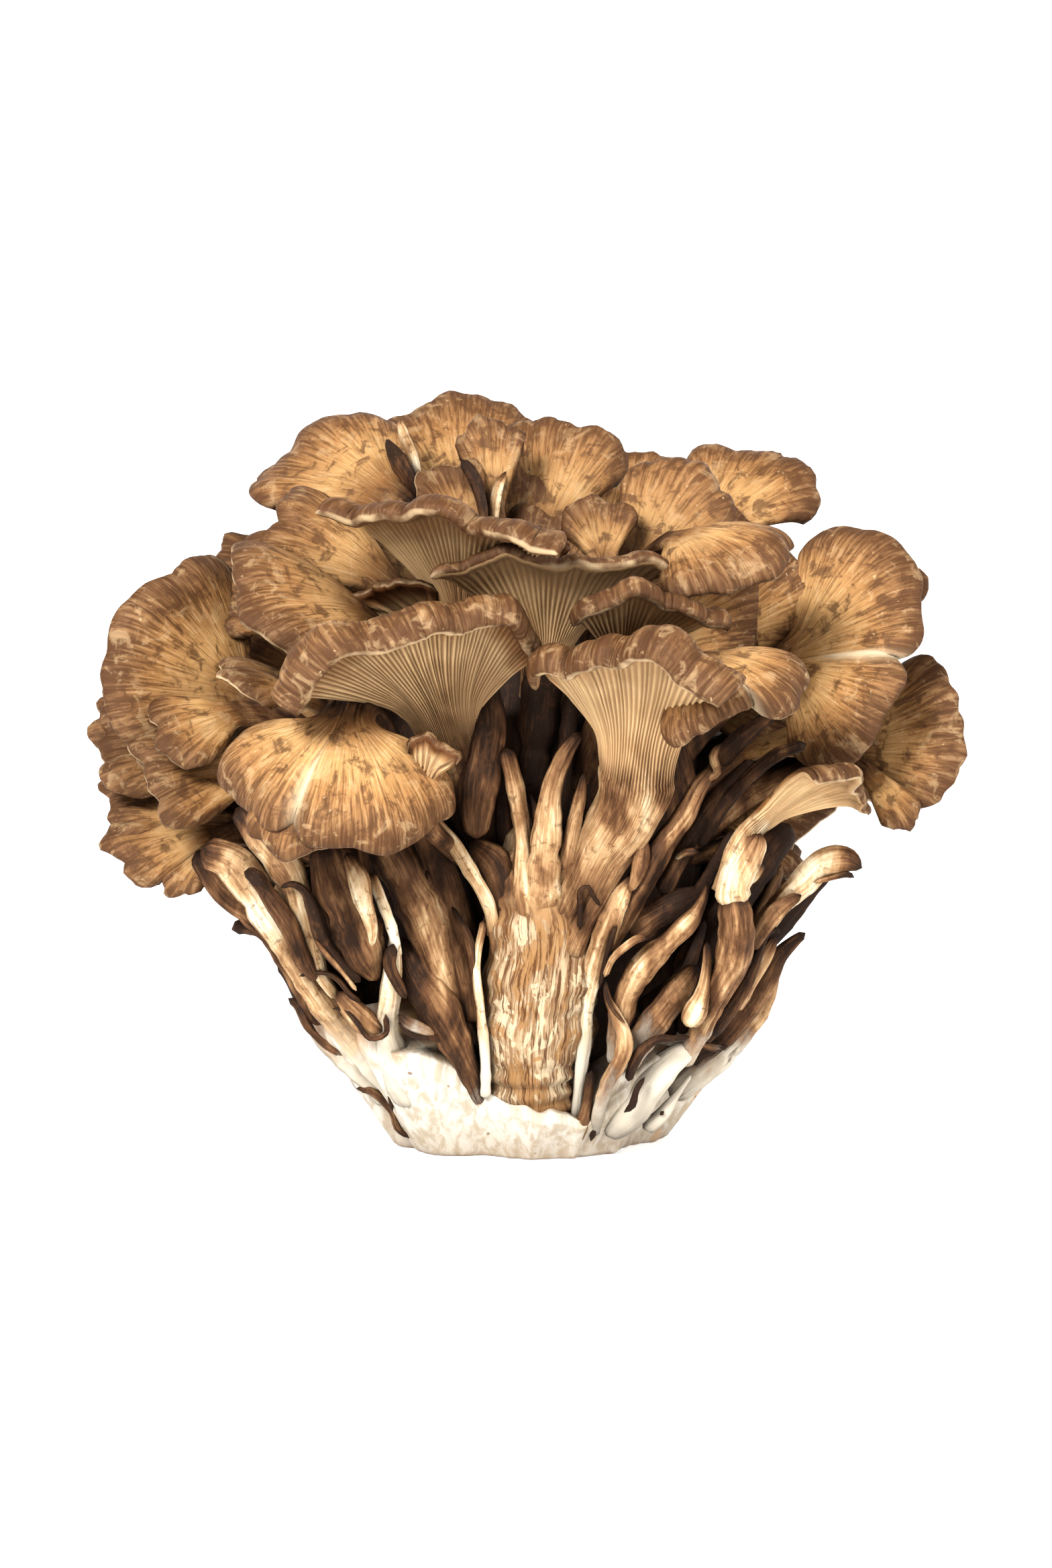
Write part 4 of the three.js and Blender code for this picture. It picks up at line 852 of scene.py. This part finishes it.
def strand_piece(number, name, paleness, flatness, stations, grid=1):
    """A stem or strap: a ribbed band along a curve, as flat as given, with blunt ends."""
    curve = along_curve(stations, STRAND_STEP * grid)
    centre, width = curve[:, :3], np.maximum(curve[:, 3], STRAND_LEAST)
    front, side = strand_frame(centre)
    gone = np.concatenate([[0], np.cumsum(np.linalg.norm(np.diff(centre, axis=0), axis=1))])
    seed = 40 + number * 1.91
    wide = width * (1 + 0.14 * grain(gone / 6, 0.5, seed) + 0.12 * grain(gone / 2.4, 3.5, seed))
    columns = max(int(width.max() * 2.6 / (STRAND_GIRTH_STEP * grid)), LEAST_STRAND_COLUMNS)
    angle = np.linspace(0, 2 * np.pi, columns, endpoint=False)[None, :]
    far = gone[:, None]
    size = min(float(np.mean(width)), STRAND_MOST)
    relief = strand_relief(angle, far, size, seed)
    body = (wide * blunt_ends(gone, width) / 2)[:, None] * (1 + relief)
    out = np.cos(angle)[..., None] * side[:, None]
    out = out + (flatness * np.sin(angle))[..., None] * front[:, None]
    rings = centre[:, None] + out * body[..., None]
    rings[..., 2] = np.maximum(rings[..., 2], 0.05)
    skin = np.stack([np.broadcast_to(angle * size / 20, body.shape) + 3 * number,
                     np.broadcast_to(far / 10, body.shape)], -1)
    tip = np.exp(-gone / 2.5)[:, None] * np.ones_like(body)
    # Painted light and shade: this tone is high on the cords, where the strand is painted lighter, and
    # low in the flutes, where it is painted darker.
    painted_relief_shade = np.clip(0.5 + 3.0 * relief, 0, 1)
    tone = np.stack([np.zeros_like(body), np.full_like(body, 0.1), painted_relief_shade, tip], -1)
    return loft(name, rings[::-1], centre[-1], centre[0], skin[::-1], tone[::-1], paleness)


def ring_stems():
    """Stems around the sides and the back, drawn like the ones at the front."""
    made = []
    for i in range(RING_STEMS):
        d = [draw(900 + 10 * i + k) for k in range(8)]
        turn = math.radians(lerp(*RING_ANGLES, (i + 0.5) / RING_STEMS) + 8 * (d[0] - 0.5))
        slant = math.radians(16 * (d[1] - 0.5))
        wide, bent = 7 + 6 * d[2], 6 * (d[3] - 0.5)
        stations = []
        for share, reach, height, width in RING_STATIONS:
            a = turn + slant * share
            out = reach * (0.8 + 0.35 * d[5]) + bent * math.sin(math.pi * share)
            stations.append((
                (RING_HALF_WIDTH + out) * math.cos(a),
                RING_SET_BACK + (RING_HALF_DEPTH + out) * math.sin(a),
                height * (0.75 + 0.4 * d[4]),
                wide * width,
            ))
        made.append((f"ring_stem_{i}", 0.9 * d[6] - 0.5, 0.75, stations, COARSE))
    return made


def loft(name, rings, bottom, top, skin, tone, pale):
    """Rings of points, lowest first, closed below and above."""
    m, n = rings.shape[:2]
    ids = np.arange(m * n).reshape(m, n)
    after = np.roll(ids, -1, axis=1)
    quads = np.stack([ids[:-1], after[:-1], after[1:], ids[1:]], -1).reshape(-1, 4)
    low, high = m * n, m * n + 1
    triangles = [[low, after[0, k], ids[0, k]] for k in range(n)]
    triangles += [[high, ids[-1, k], after[-1, k]] for k in range(n)]
    points = np.concatenate([rings.reshape(-1, 3), [bottom, top]])
    skin = np.concatenate([skin.reshape(-1, 2), skin[0, :1], skin[-1, :1]])
    tone = np.concatenate([tone.reshape(-1, 4), tone[0, :1], tone[-1, :1]])
    return build_mesh(name, points * MM, quads, triangles, skin, tone, pale)


def plain_skin(rings):
    """The skin map and tones of a plain loft."""
    angle = np.broadcast_to(np.linspace(0, 20, rings.shape[1]), rings.shape[:2])
    tone = np.zeros(rings.shape[:2] + (4,))
    tone[..., 1] = 0.1
    tone[..., 2] = 0.5
    return np.stack([angle, rings[..., 2] / 10], -1), tone


def base_rim(angle):
    """How high the base's torn rim stands around it."""
    rim = (BASE_FRONT_RIM + BASE_SIDE_RISE * np.cos(angle) ** 2
           + BASE_BACK_RISE * np.clip(np.sin(angle), 0, None) ** 2 + 3.5 * np.sin(7 * angle + 0.5))
    rim = rim + 3 * grain(angle * 3.5, 0.5, 3) + 1.5 * grain(angle * 11, 0.5, 4)
    for place, width, rise in BASE_RIM_BUMPS:
        rim = rim + rise * np.exp(-((angle - place) / width) ** 2)
    return rim


def base_piece():
    """The white base: a tall torn skirt around the stems' feet, folded from top to bottom."""
    angle = np.linspace(0, 2 * np.pi, BASE_SIDES, endpoint=False)
    rim = base_rim(angle)
    lobe = 1 + 0.05 * np.sin(5 * angle + 1) + 0.035 * np.sin(9 * angle + 2)
    rings = []
    for share in np.concatenate([[0, 0.01, 0.03], np.linspace(0.06, 1, BASE_ROWS)]):
        height = share * rim
        tuck = 1 - 0.035 * max(0, 1 - share / 0.03) ** 2 - 0.05 * smooth((share - 0.8) / 0.2)
        folds = 1 + 0.035 * grain(angle * 5, height / 40, 11)
        folds = folds + 0.026 * grain(angle * 13, height / 30, 12)
        folds = folds + 0.014 * grain(angle * 30, height / 22, 13)
        size = lobe * folds * tuck
        rings.append(np.stack([
            np.cos(angle) * (BASE_HALF_WIDTH + BASE_FLARE * height) * size,
            np.sin(angle) * (BASE_HALF_DEPTH + BASE_FLARE * height) * size,
            height,
        ], -1))
    top_ring = rings[-1]
    for inset, rise in BASE_CLOSING:
        rings.append(top_ring * (inset, inset, 1) + (0, 0, rise))
    rings = np.array(rings)
    return loft("base_flesh", rings, (0, 0, 0), (0, 0, BASE_FRONT_RIM + 4), *plain_skin(rings), 1.0)


def heart_piece():
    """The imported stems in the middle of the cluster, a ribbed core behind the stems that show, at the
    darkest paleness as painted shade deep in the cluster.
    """
    angle = np.linspace(0, 2 * np.pi, HEART_SIDES, endpoint=False)
    levels, half_widths, half_depths = zip(*HEART)
    rings = []
    for height in np.linspace(levels[0], levels[-1], HEART_ROWS):
        width = np.interp(height, levels, half_widths)
        depth = np.interp(height, levels, half_depths)
        rib = 0.93 + 0.05 * grain(angle * 7, height / 30, 21) + 0.03 * grain(angle * 19, height / 18, 22)
        rings.append(np.stack([np.cos(angle) * width * rib, HEART_SET_BACK + np.sin(angle) * depth * rib,
                               np.full(HEART_SIDES, height)], -1))
    rings = np.array(rings)
    # Painted shade: the core takes the darkest stem tone, as the inside of the cluster lies in shade.
    return loft("heart", rings, (0, HEART_SET_BACK, levels[0]), (0, HEART_SET_BACK, levels[-1] + 2),
                *plain_skin(rings), -1.0)


def linear(red, green, blue):
    """A display colour from 0 to 255 as the linear values that a shader takes."""
    def one(c):
        """One of the three values."""
        c = c / 255
        return c / 12.92 if c <= 0.04045 else ((c + 0.055) / 1.055) ** 2.4
    return (one(red), one(green), one(blue), 1.0)


class Graph:
    """Short calls for a material's nodes. Noise is scaled per metre, or per centimetre of skin map."""

    def __init__(self, name):
        self.material = bpy.data.materials.new(name)
        self.material.use_nodes = True
        self.tree = self.material.node_tree
        self.tree.nodes.clear()

    def node(self, kind, inputs=None, **settings):
        """A node with its settings, and its inputs linked or set."""
        made = self.tree.nodes.new(kind)
        for key, value in settings.items():
            setattr(made, key, value)
        for key, value in (inputs or {}).items():
            if isinstance(value, bpy.types.NodeSocket):
                self.tree.links.new(value, made.inputs[key])
            else:
                made.inputs[key].default_value = value
        return made

    def math(self, operation, a, b, clamp=False):
        """One step of arithmetic."""
        made = self.node("ShaderNodeMath", {0: a, 1: b}, operation=operation, use_clamp=clamp)
        return made.outputs[0]

    plus = partialmethod(math, "ADD")
    minus = partialmethod(math, "SUBTRACT")
    times = partialmethod(math, "MULTIPLY")

    def sway(self, value, share):
        """How far a noise stands from its middle, times a share."""
        return self.times(self.minus(value, 0.5), share)

    def span(self, value, low, high):
        """Where value stands between low and high, from 0 to 1, eased."""
        made = self.node("ShaderNodeMapRange", {0: value, 1: low, 2: high},
                         interpolation_type="SMOOTHSTEP")
        return made.outputs[0]

    def noise(self, vector, scale, detail=4.0, rough=0.6, distortion=0.0):
        """Cloudy noise from 0 to 1."""
        made = self.node("ShaderNodeTexNoise", {
            "Vector": vector, "Scale": scale, "Detail": detail, "Roughness": rough,
            "Distortion": distortion})
        return made.outputs["Fac"]

    def stretch(self, vector, x, y, z):
        """A place scaled by its own factor along each axis."""
        made = self.node("ShaderNodeVectorMath", {0: vector, 1: (x, y, z)}, operation="MULTIPLY")
        return made.outputs[0]

    def attribute(self, name):
        """A value that the mesh carries at each point."""
        return self.node("ShaderNodeAttribute", attribute_name=name).outputs["Fac"]

    def place(self):
        """The place on the object in metres, and its three parts."""
        place = self.node("ShaderNodeTexCoord").outputs["Object"]
        return place, self.node("ShaderNodeSeparateXYZ", {0: place}).outputs

    def open_sky(self, distance):
        """How open a point lies, from 0 in a hollow to 1."""
        return self.node("ShaderNodeAmbientOcclusion", {"Distance": distance}, samples=2).outputs["AO"]

    def mix(self, factor, a, b):
        """The colour a turned into b by a factor."""
        return self.node("ShaderNodeMix", {0: factor, 6: a, 7: b}, data_type="RGBA").outputs[2]

    def stains(self, colour, rows):
        """The colour with stains on it, each a mask, its share and a display colour."""
        for mask, share, tint in rows:
            colour = self.mix(self.times(mask, share), colour, linear(*tint))
        return colour

    def ramp(self, factor, stops):
        """Display colours along a factor."""
        made = self.node("ShaderNodeValToRGB", {"Fac": factor})
        elements = made.color_ramp.elements
        while len(elements) < len(stops):
            elements.new(0.5)
        for element, (position, colour) in zip(elements, stops):
            element.position = position
            element.color = linear(*colour)
        return made.outputs["Color"]

    def surface(self, colour, roughness, specular, relief, strength, depth):
        """The finished material, with a relief of a given strength and depth in metres."""
        bump = self.node("ShaderNodeBump", {"Strength": strength, "Distance": depth, "Height": relief})
        shader = self.node("ShaderNodeBsdfPrincipled", {
            "Base Color": colour, "Roughness": roughness, "Specular IOR Level": specular,
            "Normal": bump.outputs[0]})
        self.node("ShaderNodeOutputMaterial", {"Surface": shader.outputs[0]})
        return self.material


class SkinGraph(Graph):
    """Maitake skin: streaked brown above, pale with gills below, and mottled stems."""

    def __init__(self):
        super().__init__("maitake_skin")
        tone = self.node("ShaderNodeAttribute", attribute_name="tone")
        parts = self.node("ShaderNodeSeparateColor", {0: tone.outputs["Color"]}).outputs
        self.under, self.along, self.ridge = parts[0], parts[1], parts[2]
        self.torn = tone.outputs["Alpha"]
        self.pale = self.attribute("pale")
        self.skin = self.node("ShaderNodeUVMap", uv_map="skin").outputs[0]
        self.spot, axes = self.place()
        self.height = axes[2]
        self.patches = self.noise(self.spot, 70.0, 3.0)
        self.specks = self.noise(self.spot, 420.0, 3.0, 0.7)
        self.mottle = self.noise(self.spot, 400.0, 4.0, 0.7, 0.5)
        self.broad = self.noise(self.stretch(self.spot, 110.0, 110.0, 42.0), 1.0, 4.0, 0.6, 0.3)
        self.streaks = self.noise(self.stretch(self.skin, 8.0, 1.1, 1.0), 1.0, 6.0, 0.62, 0.4)
        self.fibres = self.noise(self.stretch(self.skin, 14.0, 1.0, 1.0), 1.0, 6.0, 0.65, 0.3)
        self.shifted = self.plus(self.along, self.sway(self.patches, 0.16))

    def upper_side(self):
        """Tan to brown, mottled, darker to the margin, with a thin paler edge; the caps take painted
        shade towards the top of the cluster.
        """
        outer = self.span(self.along, 0.72, 0.97)
        dark = self.span(self.plus(self.streaks, self.times(outer, 0.08)), 0.50, 0.66)
        light = self.span(self.streaks, 0.47, 0.30)
        blots = self.noise(self.spot, 190.0, 4.0, 0.65, 0.6)
        threads = self.noise(self.stretch(self.skin, 26.0, 3.0, 1.0), 1.0, 4.0, 0.6)
        edge = self.times(self.span(self.along, 0.994, 0.999), self.span(self.patches, 0.40, 0.58))
        return self.stains(self.ramp(self.shifted, UPPER_TONES), [
            (dark, self.plus(0.52, self.times(outer, 0.25)), (76, 48, 26)),
            (light, self.minus(0.50, self.times(outer, 0.36)), (228, 196, 150)),
            (self.span(blots, 0.52, 0.64), 0.72, (84, 56, 34)),
            (self.span(blots, 0.46, 0.34), 0.28, (218, 186, 142)),
            (self.span(threads, 0.55, 0.75), 0.32, (70, 42, 22)),
            # Painted shade: the caps darken towards the top of the cluster, against the key light on the
            # crown.
            (self.span(self.height, 0.125, 0.165), 0.20, (96, 64, 40)),
            (self.span(self.specks, 0.66, 0.74), 0.35, (232, 204, 162)),
            (edge, 0.7, (220, 192, 152)),
        ])

    def lower_side(self):
        """Pale ridges with painted shade in the grooves between them, browner towards the stem and at the
        very rim.
        """
        # Painted shade in the grooves between the gills.
        painted_relief_shade = self.math("SUBTRACT", 1.0, self.times(self.ridge, 1.5), clamp=True)
        colour = self.stains(self.ramp(self.shifted, LOWER_TONES), [
            (painted_relief_shade, 0.72, (90, 52, 22)),
            (self.span(self.patches, 0.52, 0.75), 0.45, (140, 96, 56)),
        ])
        # Partly the underside's own paleness and partly painted light on undersides that lie in shade.
        pale_and_lit = self.math("MULTIPLY", self.pale, 0.5, clamp=True)
        return self.mix(pale_and_lit, colour, linear(240, 202, 152))

    def bark(self):
        """The trunk's torn skin, with peeled flakes and dark splits."""
        splits = self.noise(self.stretch(self.skin, 11.0, 0.8, 1.0), 1.0, 8.0, 0.72, 0.5)
        flakes = self.noise(self.stretch(self.spot, 90.0, 90.0, 50.0), 1.0, 3.0, 0.7, 1.5)
        colour = self.mix(self.span(self.fibres, 0.38, 0.60), linear(186, 162, 130), linear(134, 102, 70))
        return self.stains(colour, [
            (self.span(flakes, 0.53, 0.56), 0.75, (152, 112, 68)),
            (self.span(flakes, 0.44, 0.41), 0.8, (204, 184, 152)),
            (self.span(splits, 0.50, 0.58), 0.9, (84, 52, 26)),
        ])

    def stem(self):
        """Dark brown to cream, with long streaks and patches, painted light and shade along the strands'
        relief, and white towards the base.
        """
        shade = self.plus(self.times(self.pale, 0.36), self.times(self.broad, 1.40))
        shade = self.plus(self.minus(shade, STEM_DARKEN), self.sway(self.fibres, 0.75))
        # Painted highlight on the cords and painted shade in the flutes of the strands.
        shade = self.plus(shade, self.sway(self.ridge, 0.3))
        shade = self.minus(shade, self.times(self.torn, 0.6))
        colour = self.stains(self.ramp(shade, STEM_TONES), [
            (self.span(self.mottle, 0.54, 0.66), 0.60, (84, 54, 30)),
        ])
        peeled = self.times(self.attribute("bark"), self.span(self.height, 0.072, 0.060))
        colour = self.mix(peeled, colour, self.bark())
        level = self.plus(self.height, self.sway(self.broad, 0.05))
        level = self.minus(level, self.times(self.pale, 0.012))
        low = self.span(self.minus(level, self.attribute("white_below")), 0.008, -0.010)
        return self.stains(colour, [(low, self.span(shade, 0.05, 0.3), (216, 205, 186))])

    def whole(self):
        """Stems, both sides of the caps and their torn splits, with painted shade darkening the hollows.
        """
        cap = self.mix(self.span(self.under, 0.45, 0.55), self.upper_side(), self.lower_side())
        colour = self.mix(self.span(self.along, 0.50, 0.58), self.stem(), cap)
        outer = self.span(self.plus(self.along, self.times(self.patches, 0.3)), 0.80, 0.98)
        colour = self.stains(colour, [(self.times(self.torn, outer), 0.8, (236, 216, 182))])
        # Painted shade: the colour darkens towards near black where the ambient occlusion finds a hollow,
        # less on the undersides.
        gills = self.times(self.under, self.span(self.along, 0.50, 0.60))
        unshaded_share = self.math("MAXIMUM", self.span(self.open_sky(0.03), -0.05, 0.85), self.times(gills, 0.72))
        return self.mix(unshaded_share, linear(30, 15, 6), colour)


def skin_material():
    """The material of every frond and stem."""
    g = SkinGraph()
    relief = g.plus(g.times(g.streaks, 0.7), g.times(g.specks, 0.35))
    relief = g.plus(relief, g.times(g.fibres, 0.8))
    relief = g.plus(relief, g.times(g.mottle, 0.3))
    roughness = g.plus(0.52, g.times(g.patches, 0.25))
    return g.surface(g.whole(), roughness, 0.22, relief, 0.6, 0.0006)


def base_material():
    """White fibrous flesh with faint folds, ochre stains, a few dark specks and painted shade in its
    hollows.
    """
    g = Graph("base_flesh")
    place, axes = g.place()
    ochre = g.noise(g.stretch(place, 1.0, 1.0, 0.6), 75.0, 5.0, 0.6, 0.6)
    fibres = g.noise(g.stretch(place, 420.0, 420.0, 45.0), 1.0, 4.0, 0.6, 0.4)
    specks = g.noise(place, 260.0, 2.0, 0.5)
    edge = g.plus(axes[2], g.sway(ochre, 0.05))
    colour = g.mix(g.span(fibres, 0.38, 0.64), linear(214, 208, 196), linear(182, 170, 150))
    colour = g.stains(colour, [
        (g.span(edge, 0.022, 0.040), 0.75, (168, 124, 76)),
        (g.span(ochre, 0.58, 0.70), 0.6, (190, 146, 92)),
        (g.span(specks, 0.70, 0.76), 0.8, (110, 76, 44)),
    ])
    # Painted shade: the flesh turns a dull brown where the ambient occlusion finds a hollow.
    colour = g.mix(g.span(g.open_sky(0.02), -0.3, 0.8), linear(110, 84, 56), colour)
    return g.surface(colour, 0.6, 0.3, fibres, 0.5, 0.0008)


def floor_material():
    """White paper with a light of its own, as a lit studio sweep."""
    g = Graph("pale_floor")
    axes = g.place()[1]
    glow = g.node("ShaderNodeMapRange", {0: axes[1], 1: 0.1, 2: 1.2, 3: FLOOR_GLOW, 4: BACK_GLOW})
    shader = g.node("ShaderNodeBsdfPrincipled", {
        "Base Color": (0.8, 0.8, 0.8, 1), "Roughness": 0.95, "Emission Color": (1, 1, 1, 1),
        "Emission Strength": glow.outputs[0]})
    g.node("ShaderNodeOutputMaterial", {"Surface": shader.outputs[0]})
    return g.material


def add_floor():
    """A plain pale sweep under and behind the head."""
    turned = [(FLOOR_TURN * math.sin(a), FLOOR_TURN * (1 - math.cos(a)))
              for a in np.radians(range(10, 91, 10))]
    flat_to = FLOOR_BACK - FLOOR_TURN
    edge = [(FLOOR_FRONT, 0.0), (flat_to, 0.0)]
    edge += [(flat_to + y, z) for y, z in turned]
    edge.append((FLOOR_BACK, FLOOR_TOP))
    points = [(x, y, z) for y, z in edge for x in (-FLOOR_HALF, FLOOR_HALF)]
    faces = [(2 * i, 2 * i + 1, 2 * i + 3, 2 * i + 2) for i in range(len(edge) - 1)]
    mesh = bpy.data.meshes.new("floor")
    mesh.from_pydata(points, [], faces)
    mesh.shade_smooth()
    floor = bpy.data.objects.new("floor", mesh)
    floor.data.materials.append(floor_material())
    bpy.context.scene.collection.objects.link(floor)


def look_at(thing, target):
    """Turns a lamp or a camera towards a point."""
    thing.rotation_euler = (Vector(target) - thing.location).to_track_quat("-Z", "Y").to_euler()


def add_light(name, place, size, power):
    """A soft round lamp."""
    light = bpy.data.lights.new(name, "AREA")
    light.shape = "DISK"
    light.size = size
    light.energy = power
    lamp = bpy.data.objects.new(name, light)
    lamp.location = place
    look_at(lamp, LIGHT_AIM)
    bpy.context.scene.collection.objects.link(lamp)


def add_camera():
    """The camera of the photo's view."""
    elevation = math.radians(CAMERA_ELEVATION)
    way = Vector((0, -math.cos(elevation), math.sin(elevation)))
    data = bpy.data.cameras.new("camera")
    data.lens = CAMERA_LENS
    data.sensor_width = CAMERA_FILM
    camera = bpy.data.objects.new("camera", data)
    camera.location = Vector(CAMERA_TARGET) + CAMERA_DISTANCE * way
    look_at(camera, CAMERA_TARGET)
    bpy.context.scene.collection.objects.link(camera)
    bpy.context.scene.camera = camera


def add_world():
    """An even white surround, and the contrast of the view."""
    world = bpy.data.worlds.new("studio")
    world.use_nodes = True
    background = world.node_tree.nodes["Background"]
    background.inputs[0].default_value = (1, 1, 1, 1)
    background.inputs[1].default_value = WORLD_LIGHT
    bpy.context.scene.world = world
    bpy.context.scene.view_settings.view_transform = "Standard"
    bpy.context.scene.view_settings.look = "Medium High Contrast"


def wear(piece, material, node):
    """A piece's material, its body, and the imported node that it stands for."""
    piece.data.materials.append(material)
    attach(piece, "root")
    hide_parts(node)


add_camera()
add_world()
add_floor()
for lamp in LIGHTS:
    add_light(*lamp)

skin = skin_material()
fronds = [frond_of(i, *row) for i, row in enumerate(FRONDS)]
fillers = [frond_of(FIRST_FILLER + i, *row) for i, row in enumerate(FILLERS)]
tiers = tier_fronds(FIRST_BACK)
skirt = skirt_stems(FIRST_BACK + len(tiers))
for frond in fronds + fillers + tiers + skirt:
    wear(frond_mesh(frond), skin, CLUSTER)
for i, row in enumerate(STRANDS + ring_stems()):
    wear(strand_piece(i, *row), skin, CLUSTER)
wear(heart_piece(), skin, CLUSTER)
wear(base_piece(), base_material(), BASE)
